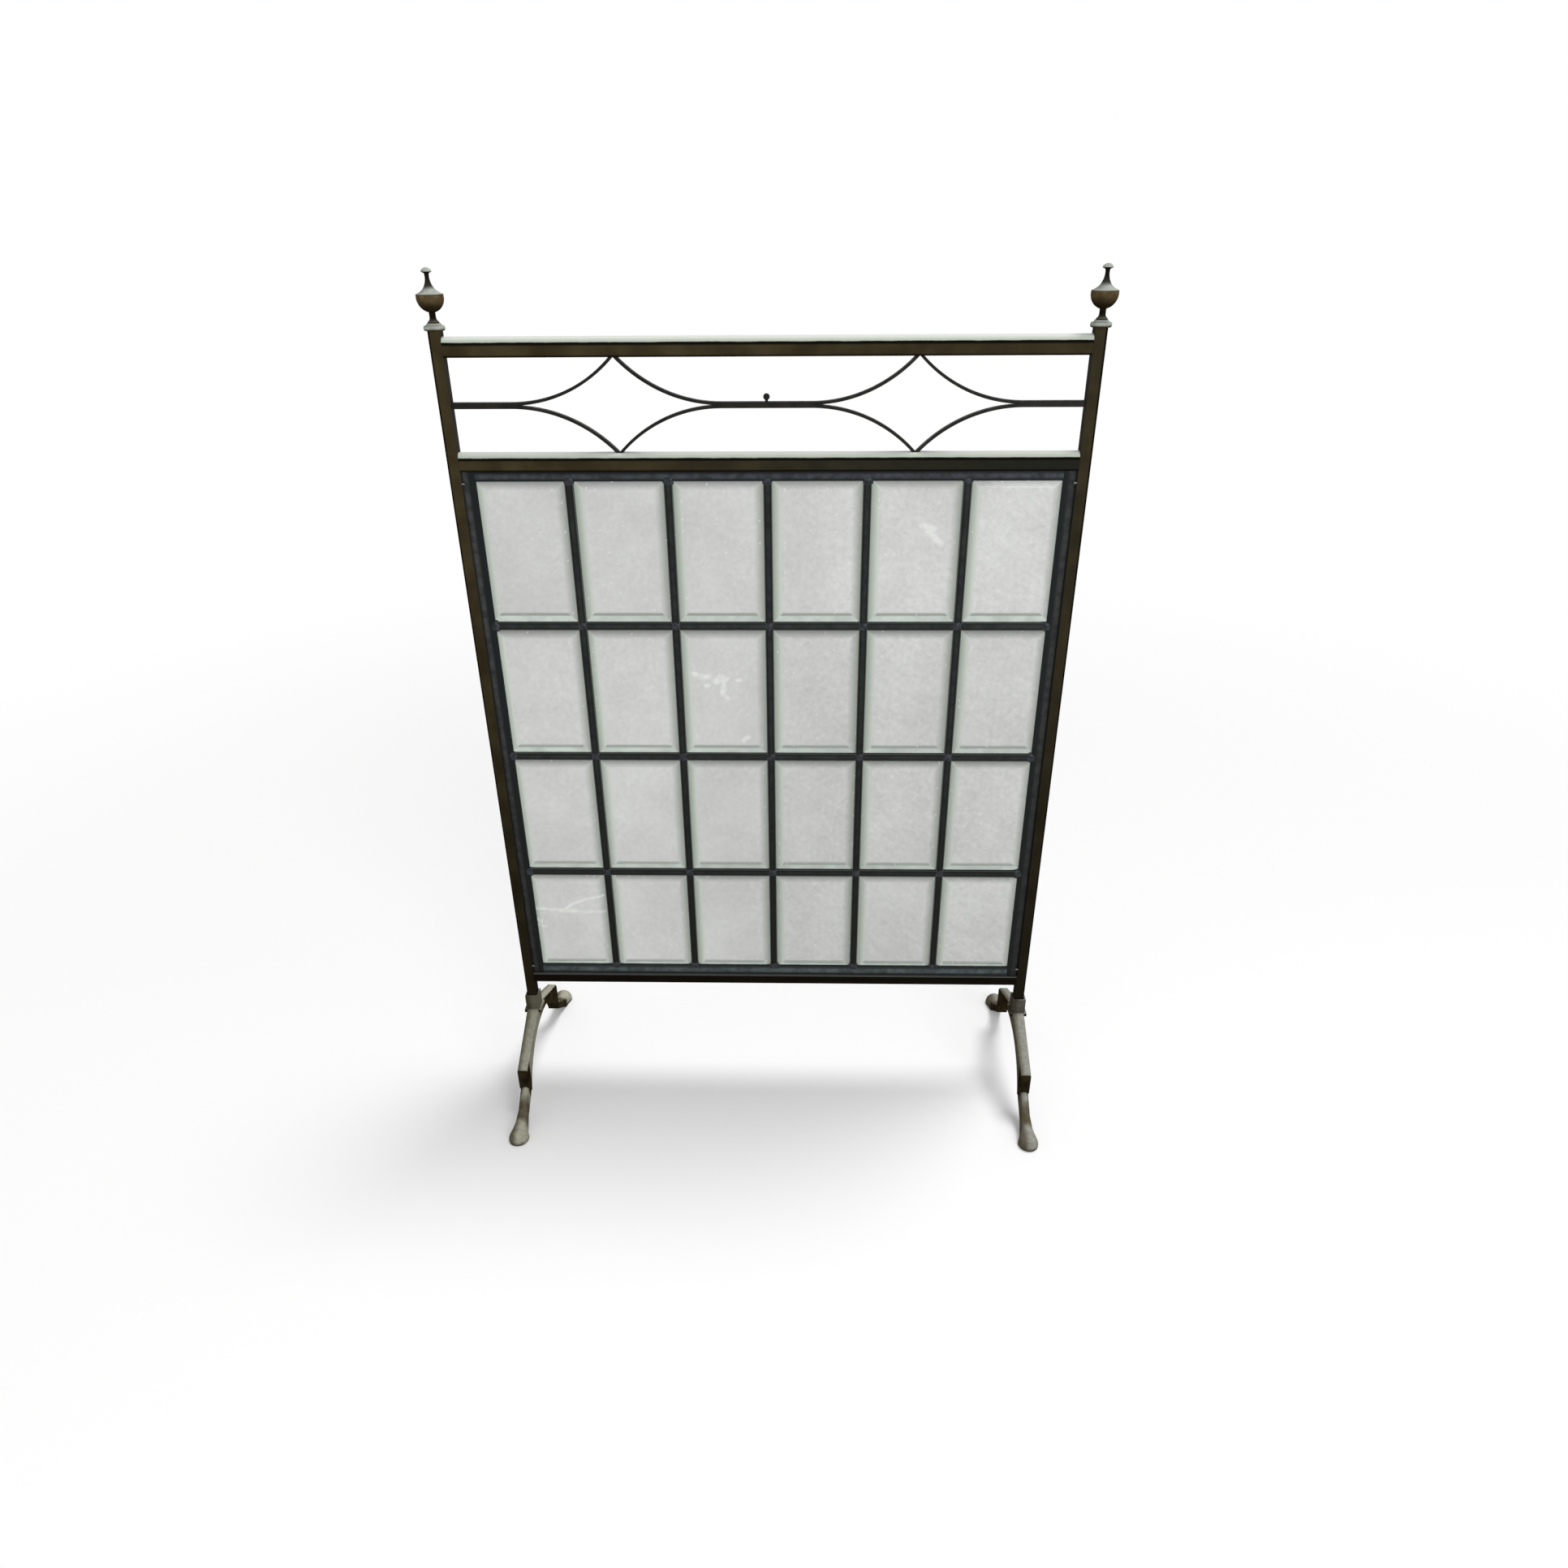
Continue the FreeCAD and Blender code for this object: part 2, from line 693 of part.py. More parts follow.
def shank_sections():
    """Sections of the lower leg: reach, width, underside and top."""
    slope = f"({SHANK_FALL} / {SHANK_RUN})"
    lap = "sizes.knee_lap"
    return [
        (f"{BACK_REACH} - {lap}", "sizes.ankle_width", f"{BACK_HEIGHT} + 2 * {lap}",
         f"layout.knee_bottom + ({UNDER_REACH} + {lap}) * {slope}"),
        (f"sizes.knee_reach - {lap}", "sizes.ankle_width",
         f"{BACK_HEIGHT} - ({UNDER_REACH} - {lap}) * {slope}",
         f"layout.knee_bottom + {lap} + {lap} * {slope}"),
        (f"sizes.ankle_reach - {UNDER_REACH}", "sizes.ankle_width",
         f"sizes.ankle_height - {UNDER_DROP}", f"sizes.ankle_height + {UNDER_REACH} * {slope}"),
        ("sizes.heel_reach", "sizes.heel_width", "0", "(sizes.ankle_height + sizes.hoof_height) / 2"),
        ("sizes.hoof_reach", "sizes.instep_width", "0", "sizes.instep_height"),
    ]


def on_thigh_top(shape):
    """A test for the edges between the thighs' sloping tops and their side walls."""
    def wanted(edge):
        middle = edge.valueAt((edge.FirstParameter + edge.LastParameter) / 2)
        normals = []
        for face in shape.ancestorsOfType(edge, Part.Face):
            normals.append(face.normalAt(*face.Surface.parameter(middle)))
        sloping = any(normal.z > CLOSE and abs(normal.y) > CLOSE for normal in normals)
        wall = any(abs(normal.z) < CLOSE and abs(normal.x) > CLOSE for normal in normals)
        return sloping and wall

    return wanted


def make_saddle(side):
    """Thighs padded from their side view and trimmed to their plan, with the post's socket on top."""
    body = new_body(f"{side}_saddle")
    sketch = new_sketch(body, "YZ_Plane")
    outline(sketch, thigh_outline())
    pad(body, sketch, "2 * sizes.saddle_width", symmetric=True)
    trim = new_sketch(body, "XY_Plane")
    outline(trim, thigh_plan())
    length = "4 * sizes.knee_reach"
    rectangle(trim, "4 * sizes.saddle_width", length, low=f"-({length}) / 2")
    thighs = pocket(body, trim)
    round_edges(body, thighs, on_thigh_top(thighs.Shape), "sizes.leg_round")
    square_pad(body, "layout.saddle_bottom", "sizes.saddle_width", "sizes.saddle_thickness")
    square_pad(body, "sizes.saddle_height", "sizes.socket_width", "sizes.socket_height")
    mouth = new_sketch(body, "XY_Plane", lift="sizes.saddle_height + sizes.socket_height")
    opening = "(sizes.tube + 2 * sizes.socket_gap)"
    rectangle(mouth, opening, opening, low=f"-{opening} / 2")
    pocket(body, mouth, "sizes.socket_depth")
    bolt_hole = "sizes.bolt_diameter + 2 * sizes.bolt_gap"
    counterbore = "sizes.bolt_head_diameter + 2 * sizes.counterbore_gap"
    for diameter, top in ((bolt_hole, "layout.post_bottom_z"), (counterbore, "layout.bolt_seat_z")):
        hole = new_sketch(body, "XY_Plane")
        circle(hole, "0", "0", diameter)
        pocket(body, hole, top, reverse=True)
    return body


def make_shank(label, turn):
    """A round-topped lower leg, from inside the knee out to the hoof."""
    body = new_body(label)
    sketches = []
    for reach, width, low, top in shank_sections():
        sketch = new_sketch(body, "XZ_Plane", lift=reach)
        half = f"({width}) / 2"
        shoulder = f"({low}) + (({top}) - ({low})) * {SHOULDER_SHARE}"
        outline(sketch, [
            (f"-{half}", low),
            (half, low),
            (half, shoulder),
            (f"-{half}", shoulder, "0", top),
        ])
        sketches.append(sketch)
    loft = body.newObject("PartDesign::AdditiveLoft", f"{label}_loft")
    loft.Profile = sketches[0]
    loft.Sections = sketches[1:]
    loft.Ruled = True
    settle(loft)
    body.Placement.Rotation = FreeCAD.Rotation(FreeCAD.Vector(0, 0, 1), turn)
    return body


def make_hoof(label, direction):
    """A domed hoof with a flat sole."""
    body = new_body(label)
    sketch = new_sketch(body, "XZ_Plane")
    outline(sketch, [
        ("0", "0"),
        ("sizes.hoof_radius - sizes.sole_edge", "0"),
        ("sizes.hoof_radius", "sizes.sole_edge"),
        ("sizes.hoof_radius", "sizes.hoof_band"),
        cap("sizes.hoof_radius", "sizes.hoof_band", "sizes.hoof_height"),
    ])
    revolve(body, sketch)
    place(body, y=f"{direction} * sizes.hoof_reach")
    return body


def make_foot(side, sign):
    """One casting: a socket for the post on two legs that end in hoofs."""
    foot = doc.addObject("Part::MultiFuse", f"{side}_foot")
    foot.Label = f"{side}_foot"
    foot.Shapes = [
        make_saddle(side),
        make_shank(f"{side}_front_shank", 0),
        make_hoof(f"{side}_front_hoof", -1),
        make_shank(f"{side}_back_shank", 180),
        make_hoof(f"{side}_back_hoof", 1),
    ]
    place(foot, x=f"{sign} * layout.post_x")
    keep(foot)


def square_pad(body, low, width, height):
    sketch = new_sketch(body, "XY_Plane", lift=low)
    rectangle(sketch, width, width, low=f"-({width}) / 2")
    pad(body, sketch, height)


def make_bolts():
    """Cheese-headed bolts, driven up through the feet into the foot plugs."""
    bolts = []
    for side, sign in SIDES.items():
        shank = cylinder(f"{side}_foot_bolt_shank", "sizes.bolt_diameter",
                         "layout.post_bottom_z + sizes.bolt_engagement - layout.bolt_seat_z")
        place(shank, x=f"{sign} * layout.post_x", z="layout.bolt_seat_z")
        head = cylinder(f"{side}_foot_bolt_head", "sizes.bolt_head_diameter", "sizes.bolt_head_height")
        place(head, x=f"{sign} * layout.post_x", z="layout.bolt_seat_z - sizes.bolt_head_height")
        bolt = doc.addObject("Part::Fuse", f"{side}_foot_bolt")
        bolt.Base = head
        bolt.Tool = shank
        bolts.append(bolt)
    group("foot_bolts", bolts)


# Leaded panel

def came_section(low, heart_low, heart_high, high):
    """An H section with crowned leaves: first coordinate across the face, second through it."""
    half = "layout.channel / 2"
    edge = f"({half} + sizes.came_edge)"
    crown = "layout.came_face_y"
    middle = f"(({low}) + ({high})) / 2"
    return [
        (low, half),
        (low, edge),
        (high, edge, middle, crown),
        (high, half),
        (heart_high, half),
        (heart_high, f"-{half}"),
        (high, f"-{half}"),
        (high, f"-{edge}"),
        (low, f"-{edge}", middle, f"-{crown}"),
        (low, f"-{half}"),
        (heart_low, f"-{half}"),
        (heart_low, half),
    ]


def plain_came_section():
    face = "sizes.came_face / 2"
    heart = "sizes.came_heart / 2"
    return came_section(f"-{face}", f"-{heart}", heart, face)


def border_section(leaf):
    """Measured outwards from the heart's inner face."""
    return came_section("-sizes.border_lip", "0", "sizes.border_heart", f"sizes.border_heart + {leaf}")


def upright_came(label, section, x, low, high, sign=1):
    body = new_body(label)
    sketch = new_sketch(body, "XY_Plane")
    outline(sketch, section)
    pad(body, sketch, f"({high}) - ({low})")
    if sign < 0:
        body.Placement.Rotation = FreeCAD.Rotation(FreeCAD.Vector(0, 0, 1), 180)
    place(body, x=x, z=low)
    return body


def swapped(corner):
    """A corner with its first and second coordinates changed over, and those of its arc."""
    first, second, *via = corner
    return (second, first, *reversed(via))


def level_came(label, section, z, low, high, sign=1):
    """A came along X; the section's first coordinate points up, or down for a negative sign."""
    body = new_body(label)
    sketch = new_sketch(body, "YZ_Plane")
    outline(sketch, [swapped(corner) for corner in section])
    pad(body, sketch, f"({high}) - ({low})")
    if sign < 0:
        body.Placement.Rotation = FreeCAD.Rotation(FreeCAD.Vector(1, 0, 0), 180)
    place(body, x=low, z=z)
    return body


def column_x(number):
    """The line of a vertical came, counted from the left border."""
    return f"({number - COLUMNS // 2} * layout.column_pitch)"


def make_cames():
    for number in range(1, COLUMNS):
        keep(upright_came(f"vertical_came_{number}", plain_came_section(), column_x(number),
                          "layout.sight_bottom_z", "layout.sight_top_z"))
    for row in (1, 2, 3):
        pieces = []
        for number in range(COLUMNS):
            low = f"{column_x(number)} + sizes.came_face / 2" if number else "-layout.sight_x"
            high = f"{column_x(number + 1)} - sizes.came_face / 2"
            if number == COLUMNS - 1:
                high = "layout.sight_x"
            pieces.append(level_came(f"row_{row}_came_{number + 1}", plain_came_section(),
                                     f"layout.row_{row}_z", low, high))
        group(f"row_{row}_cames", pieces)


def make_borders():
    for side, sign in SIDES.items():
        keep(upright_came(f"{side}_border_came", border_section("sizes.border_leaf"),
                          f"{sign} * layout.border_heart_x",
                          "layout.panel_bottom_z", "layout.panel_top_z", sign))
    keep(level_came("top_border_came", border_section("sizes.top_border_leaf"),
                    "layout.top_heart_z", "-layout.sight_x", "layout.sight_x"))
    keep(level_came("bottom_border_came", border_section("sizes.border_leaf"),
                    "layout.bottom_heart_z", "-layout.sight_x", "layout.sight_x", -1))


def make_pane(label, x, z, height):
    """A plate with a wide ground bevel round its front face."""
    body = new_body(label)
    sketch = new_sketch(body, "XZ_Plane")
    rectangle(sketch, "sizes.pane_width", height, low=f"-{height} / 2")
    plate = pad(body, sketch, "sizes.pane_thickness")
    front = -value("sizes.pane_thickness")
    bevel = body.newObject("PartDesign::Chamfer", f"{label}_bevel")
    bevel.Base = (plate, edge_names(plate.Shape, lambda edge: abs(edge.CenterOfMass.y - front) < CLOSE))
    bevel.ChamferType = "Two distances"
    bind(bevel, Size="sizes.bevel_depth", Size2="sizes.bevel_width")
    settle(bevel)
    place(body, x=x, y="layout.pane_back_y", z=z)
    keep(body)


def make_panes():
    for row, (z, height) in ROW_PLACES.items():
        for number in range(COLUMNS):
            x = f"({column_x(number)} + {column_x(number + 1)}) / 2"
            make_pane(f"pane_{row}_col{number + 1}", x, z, height)


def make_pins():
    """Pins standing out of the posts, before and behind the panel's border."""
    pins = []
    levels = {
        "low": "layout.panel_bottom_z + sizes.pin_inset",
        "high": "layout.panel_top_z - sizes.pin_inset",
    }
    for side, sign in SIDES.items():
        for level, z in levels.items():
            for face, depth in (("front", -1), ("back", 1)):
                pin = cylinder(f"{side}_{level}_{face}_pin", "sizes.pin_diameter", "sizes.pin_length")
                pin.Placement.Rotation = FreeCAD.Rotation(FreeCAD.Vector(0, 1, 0), -90 * sign)
                place(pin, x=f"{sign} * (layout.inner_x + sizes.tube_wall)",
                      y=f"{depth} * layout.pin_y", z=z)
                pins.append(pin)
    group("panel_pins", pins)


for side, sign in SIDES.items():
    make_post(side, sign)
make_round_rail("top_rail", "layout.top_rail_z")
make_round_rail("second_rail", "layout.second_rail_z")
make_bottom_rail()
make_lattice()
make_bead()
for side, sign in SIDES.items():
    make_flange(side, sign)
    make_finial(side, sign)
    make_foot(side, sign)
make_studs()
make_plugs("post_top_plugs", "sizes.top_plug_length", "sizes.stud_diameter + 2 * sizes.bore_clearance",
           "layout.post_top_z - sizes.top_plug_length")
make_plugs("post_foot_plugs", "sizes.foot_plug_length", "sizes.bolt_diameter + 2 * sizes.bore_clearance",
           "layout.post_bottom_z")
make_bolts()
make_cames()
make_borders()
make_panes()
make_pins()

doc.recompute()
for thing in doc.Objects:
    if "Invalid" in thing.State or "Error" in thing.State:
        raise RuntimeError(f"{thing.Name} failed: {thing.State}")
os.makedirs("parts", exist_ok=True)
for part in parts:
    if part.Shape.isNull() or not part.Shape.isValid():
        raise RuntimeError(f"{part.Label} has no valid shape")
    part.Shape.exportStep(f"parts/{part.Label}.step")
    print(part.Label, round(part.Shape.Volume, 1))
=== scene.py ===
import json
import math
import random

import bmesh
import bpy
from mathutils import Matrix, Vector


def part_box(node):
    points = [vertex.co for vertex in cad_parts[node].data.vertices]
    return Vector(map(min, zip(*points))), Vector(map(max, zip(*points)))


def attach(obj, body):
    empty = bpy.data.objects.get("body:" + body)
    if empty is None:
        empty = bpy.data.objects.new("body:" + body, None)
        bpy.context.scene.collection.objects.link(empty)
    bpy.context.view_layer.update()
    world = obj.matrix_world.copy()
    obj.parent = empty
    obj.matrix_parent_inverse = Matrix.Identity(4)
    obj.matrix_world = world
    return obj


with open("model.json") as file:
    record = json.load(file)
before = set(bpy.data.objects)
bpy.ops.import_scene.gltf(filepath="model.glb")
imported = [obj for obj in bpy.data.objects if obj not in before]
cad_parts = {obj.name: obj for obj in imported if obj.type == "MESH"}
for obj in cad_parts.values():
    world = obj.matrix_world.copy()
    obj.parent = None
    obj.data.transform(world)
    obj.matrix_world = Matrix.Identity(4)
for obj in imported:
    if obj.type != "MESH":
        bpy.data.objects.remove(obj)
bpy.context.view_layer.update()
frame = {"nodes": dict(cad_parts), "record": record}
NODES = frame["nodes"]
MM = 0.001

# The photograph's camera: place in metres, angles in radians, turned from looking along +Y.
CAMERA_PLACE = Vector((0.04104, -1.11343, 1.03086))
CAMERA_YAW = 0.02357
CAMERA_PITCH = 0.48535
CAMERA_ROLL = 0.00715
CAMERA_LENS_MM = 24.194
SENSOR_MM = 36.0
NEAR_CLIP = 10 * MM

# The lights: a wide soft one overhead, a disk in front, and an even one all round.
OVERHEAD_TOWARDS = Vector((0.30, 0.17, 1.0))
OVERHEAD_SPREAD = math.radians(22)
OVERHEAD_POWER = 1.65
FILL_PLACE = Vector((1.3, -2.5, 1.4))
FILL_TARGET = Vector((0.0, 0.0, 0.5))
FILL_SIZE = 1.6
FILL_POWER = 26.0
AMBIENT = 0.4

# The floor: its half width, how far out it starts to fade and is white, and its glow.
FLOOR_REACH = 12.0
FLOOR_FADE = (0.9, 2.6)
FLOOR_GLOW = 0.115

# The panes: how many across and up, the width of their bevels, and how softly the bevels meet.
COLUMNS = 6
ROWS = 4
BEVEL = 12.7 * MM
BEVEL_SOFT = 0.8 * MM

# Blobs of solder: points round them, rings, size, how deep their rim sinks, and their uneven radii.
BLOB_ROUNDS = 14
BLOB_RINGS = 4
BLOB_RADIUS = 6.2 * MM
BLOB_HEIGHT = 1.0 * MM
BLOB_SKIRT = 1.2 * MM
BLOB_WOBBLE = (0.82, 1.12)
BLOB_SEED = 7

# Levels of a noise between which one look turns into another, as a clear or as a soft pattern.
CLEAR = (0.3, 0.7)
SOFT = (0.25, 0.75)

# Places across the screen, in metres: from its left half to its right half, and from post to post.
HALF_TO_HALF = (-0.1, 0.1)
POST_TO_POST = (-0.32, 0.30)

# How far from an edge the painted shade, a black line on the paint, starts to fade and ends.
POST_EDGE_SHADE = (1.9 * MM, 3.2 * MM)
RAIL_EDGE_SHADE = (0.7 * MM, 2.8 * MM)

# Stretches along a foot, by distance from its middle: where each starts, is full, fades and ends.
# The knee's stays dark as painted shade, and the ankle's is stained.
KNEE = (74 * MM, 81 * MM, 88.5 * MM, 92 * MM)
ANKLE = (92 * MM, 104 * MM, 117 * MM, 128 * MM)

# Where the bloom on a hoof starts and is full, by distance and by height (lower down, painted
# shade near the floor), and the socket's fades.
HOOF_REACH = (120 * MM, 130 * MM)
HOOF_HEIGHT = (0.5 * MM, 7 * MM)
SOCKET_FADE = (9.0 * MM, 10.5 * MM)

# Colours that more than one material uses; a crown's are its painted highlight, in front and at its height.
WHITE = (1.0, 1.0, 1.0)
BLACK = (0.005, 0.004, 0.003)
DULL_CROWN_HIGHLIGHT = (0.09, 0.094, 0.085), (0.11, 0.115, 0.105)
PALE_CROWN_HIGHLIGHT = (0.56, 0.62, 0.53), (0.80, 0.83, 0.77)
BORDER_SIDE = (0.010, 0.012, 0.013)

# Light marks on the glass, in millimetres across and up the panel: start, end and half width.
CRACKS = [
    ((-214, 285), (-237, 279), 2.4),
    ((-237, 279), (-255, 271), 3.0),
    ((-255, 271), (-266, 262), 3.4),
    ((-271, 262), (-252, 261), 4.4),
    ((-306, 265), (-268, 262), 2.6),
    ((-252, 260), (-214, 260), 1.8),
    ((-304, 248), (-297, 244), 2.4),
    ((-302, 239), (-292, 236), 2.0),
]
SMEARS = [
    ((-85, 587), (-81, 585), 4.2),
    ((-77, 583), (-68, 583), 5.2),
    ((-60, 577), (-54, 580), 6.4),
    ((-56, 583), (-49, 580), 5.4),
    ((-51, 578), (-53, 562), 4.6),
    ((-54, 562), (-47, 556), 3.0),
    ((-36, 579), (-33, 579), 3.0),
    ((-72, 572), (-69, 572), 4.0),
    ((-30, 503), (-25, 507), 4.4),
    ((164, 754), (176, 751), 5.0),
    ((171, 747), (184, 736), 5.5),
]


class Shader:
    """A material with one Principled surface, and short calls for the nodes that feed it."""

    def __init__(self, name):
        self.material = bpy.data.materials.new(name)
        self.material.use_nodes = True
        self.nodes = self.material.node_tree.nodes
        self.links = self.material.node_tree.links
        self.surface = self.nodes["Principled BSDF"]

    def feed(self, socket, value):
        """Set a socket to a number or colour, or link it to another node's output."""
        if isinstance(value, bpy.types.NodeSocket):
            self.links.new(value, socket)
        elif isinstance(value, tuple) and len(value) == 3 and socket.type == "RGBA":
            socket.default_value = (*value, 1.0)
        else:
            socket.default_value = value

    def node(self, kind, inputs=(), **settings):
        """A new node with its settings, and its inputs by name."""
        made = self.nodes.new(kind)
        for name, value in settings.items():
            setattr(made, name, value)
        for name, value in dict(inputs).items():
            self.feed(made.inputs[name], value)
        return made

    def place(self):
        """Where a point is in the object's own frame, in metres."""
        return self.node("ShaderNodeTexCoord").outputs["Object"]

    def stretched(self, scale, turn=(0.0, 0.0, 0.0)):
        """The object's own frame turned, in which a pattern is that much longer along each axis."""
        inputs = {"Vector": self.place(), "Scale": scale, "Rotation": turn}
        return self.node("ShaderNodeMapping", inputs, vector_type="TEXTURE").outputs[0]

    def box_place(self):
        """How far a point is through its object's box along each axis, from 0 to 1."""
        return self.node("ShaderNodeTexCoord").outputs["Generated"]

    def share(self, axis):
        """How far a point is through its object's box along one axis, from 0 to 1."""
        return self.parts(self.box_place())[axis]

    def off_axis(self):
        """How far a point is from its object's upright middle line, as a share of the box."""
        inputs = {"X": 0.5, "Y": 0.5, "Z": self.share("Z")}
        middle = self.node("ShaderNodeCombineXYZ", inputs).outputs[0]
        return self.vector("DISTANCE", self.box_place(), middle)["Value"]

    def parts(self, vector):
        """The X, Y and Z outputs of a vector."""
        return self.node("ShaderNodeSeparateXYZ", {"Vector": vector}).outputs

    def normal_part(self, axis):
        """One component of the surface's own normal."""
        return self.parts(self.node("ShaderNodeTexCoord").outputs["Normal"])[axis]

    def noise(self, size, detail=3.0, roughness=0.5, vector=None):
        """Cloudy values from 0 to 1 with blobs of about a size in metres."""
        inputs = {"Scale": 1.0 / size, "Detail": detail, "Roughness": roughness}
        inputs["Vector"] = self.place() if vector is None else vector
        return self.node("ShaderNodeTexNoise", inputs).outputs["Fac"]

    def math(self, operation, first, second=0.0):
        """One step of arithmetic on one or two values."""
        made = self.node("ShaderNodeMath", operation=operation)
        self.feed(made.inputs[0], first)
        self.feed(made.inputs[1], second)
        return made.outputs[0]

    def plus(self, first, second):
        return self.math("ADD", first, second)

    def minus(self, first, second):
        return self.math("SUBTRACT", first, second)

    def times(self, first, second):
        return self.math("MULTIPLY", first, second)

    def size(self, value):
        """A value without its sign."""
        return self.math("ABSOLUTE", value)

    def least(self, first, second):
        return self.math("MINIMUM", first, second)

    def most(self, values):
        """The largest of several values."""
        largest = values[0]
        for value in values[1:]:
            largest = self.math("MAXIMUM", largest, value)
        return largest

    def vector(self, operation, *inputs):
        """The outputs of one step of arithmetic on vectors."""
        made = self.node("ShaderNodeVectorMath", operation=operation)
        for socket, value in zip(made.inputs, inputs):
            self.feed(socket, value)
        return made.outputs

    def step(self, value, low, high, to_low=0.0, to_high=1.0):
        """A smooth rise from one level to another as a value goes from low to high."""
        made = self.node(
            "ShaderNodeMapRange",
            {"Value": value, "From Min": low, "From Max": high, "To Min": to_low, "To Max": to_high},
            interpolation_type="SMOOTHSTEP",
        )
        return made.outputs["Result"]

    def fall(self, value, low, high, level=1.0):
        """A smooth fall from a level to 0 as a value goes from low to high."""
        return self.step(value, low, high, level, 0.0)

    def within(self, value, start, full, fade, end):
        """1 along a stretch of values, with smooth ends."""
        return self.times(self.step(value, start, full), self.fall(value, fade, end))

    def ramp(self, value, low, high):
        """A straight rise from 0 to 1 as a value goes from low to high."""
        inputs = {"Value": value, "From Min": low, "From Max": high}
        return self.node("ShaderNodeMapRange", inputs).outputs["Result"]

    def blend(self, factor, first, second):
        """A colour between two others."""
        made = self.node("ShaderNodeMix", data_type="RGBA")
        self.feed(made.inputs["Factor"], factor)
        self.feed(made.inputs[6], first)
        self.feed(made.inputs[7], second)
        return made.outputs[2]

    def dim(self, colour, factor):
        """A colour or vector made smaller or larger by a factor."""
        made = self.node("ShaderNodeVectorMath", operation="SCALE")
        self.feed(made.inputs[0], colour)
        self.feed(made.inputs["Scale"], factor)
        return made.outputs[0]

    def edge(self, radius):
        """1 at sharp edges, fading to 0 within a radius of them."""
        rounded = self.node("ShaderNodeBevel", {"Radius": radius}, samples=6).outputs["Normal"]
        flat = self.node("ShaderNodeNewGeometry").outputs["Normal"]
        return self.fall(self.vector("DOT_PRODUCT", rounded, flat)["Value"], 0.75, 0.98)

    def bump(self, height, strength, depth):
        """Roughen the surface by a height from 0 to 1, as deep as that in metres."""
        inputs = {"Height": height, "Strength": strength, "Distance": depth}
        self.set(Normal=self.node("ShaderNodeBump", inputs).outputs["Normal"])

    def set(self, **inputs):
        """Feed the surface; underscores in a name stand for spaces."""
        for name, value in inputs.items():
            self.feed(self.surface.inputs[name.replace("_", " ")], value)


def edge_distance(shader, axis, box, face):
    """How far a point is from the nearer edge of a tube's front, or from an upright tube's outer edge.

    Along the axis the tube is as long as box, and its flat front takes up face of that.
    """
    low = shader.times(shader.share(axis), box)
    high = shader.size(shader.minus(face, low))
    if axis == "Z":
        return shader.least(low, high)
    on_right = shader.step(shader.parts(shader.place())["X"], *HALF_TO_HALF)
    return shader.plus(low, shader.times(shader.minus(high, low), on_right))


def frame_paint(name, crown, axis, box, face, edge_shade, floor_shade, right_darkening):
    """Bronze-brown lacquer with a painted highlight on its top, a painted grey sheen on its sides,
    and painted shade in black below, along the edges of its front and near the floor.

    Crown has the top highlight's colours. Edge_distance says what axis, box and face are, and the
    edge argument after them is how far from an edge the painted black starts to fade and ends. The
    next argument is the painted black's share near the floor, and the last the share, to the right,
    by which the paint turns greyer and darker.
    """
    coat_colours = (0.038, 0.029, 0.014), (0.064, 0.050, 0.024)
    right_dark_colour = (0.017, 0.0185, 0.0145)
    side_sheen_colour = (0.044, 0.041, 0.033)
    floor_shade_heights = (0.1, 0.95)
    rim_shade_tilts, top_light_tilts, crown_tilts = (0.04, 0.08), (0.12, 0.26), (0.3, 0.9)
    shader = Shader(name)
    place = shader.parts(shader.place())
    tilt = shader.normal_part("Z")
    cloud = shader.noise(35 * MM, detail=5.0)
    coat = shader.blend(shader.step(cloud, *CLEAR), *coat_colours)
    # Greyer and darker towards the right.
    coat = shader.blend(shader.step(place["X"], *POST_TO_POST, 0.0, right_darkening), coat, right_dark_colour)
    # Painted sheen: the side faces turn greyer.
    aside = shader.step(shader.size(shader.normal_part("X")), 0.3, 0.9)
    coat = shader.blend(aside, coat, side_sheen_colour)
    # Painted shade: black on faces turned down, on a thin rim where the front turns into the top, near the
    # floor, and along the edges of the front.
    below = shader.step(shader.times(tilt, -1.0), 0.1, 0.55)
    # Noise that makes the edges of the painted highlight and the rim shade uneven.
    tilt_jitter = shader.step(shader.noise(20 * MM, detail=6.0, roughness=0.65), *SOFT, -0.03, 0.03)
    up = shader.plus(tilt, tilt_jitter)
    rim = shader.step(up, *rim_shade_tilts)
    floor_shaded = shader.fall(place["Z"], *floor_shade_heights, floor_shade)
    line = shader.fall(edge_distance(shader, axis, box, face), *edge_shade, 0.95)
    dark = shader.most([below, rim, floor_shaded, line])
    # Painted highlight: faces turned up take the crown colours.
    top_light = shader.step(up, *top_light_tilts)
    top_light_colour = shader.blend(shader.step(up, *crown_tilts), *crown)
    streak = shader.noise(4 * MM, detail=2.0, vector=shader.stretched((1.0, 1.0, 4.0)))
    shader.set(
        Base_Color=shader.blend(top_light, shader.blend(dark, coat, BLACK), top_light_colour),
        Roughness=shader.step(streak, 0.2, 0.8, 0.38, 0.56),
        Specular_IOR_Level=0.0,
    )
    shader.bump(shader.noise(1.5 * MM), 0.12, 0.2 * MM)
    return shader.material


def rail_paint(name, crown, height, floor_shade, right_darkening):
    """The frame's paint on a rail, whose flat front is as high as the tube is wide."""
    return frame_paint(name, crown, "Z", height, TUBE, RAIL_EDGE_SHADE, floor_shade, right_darkening)


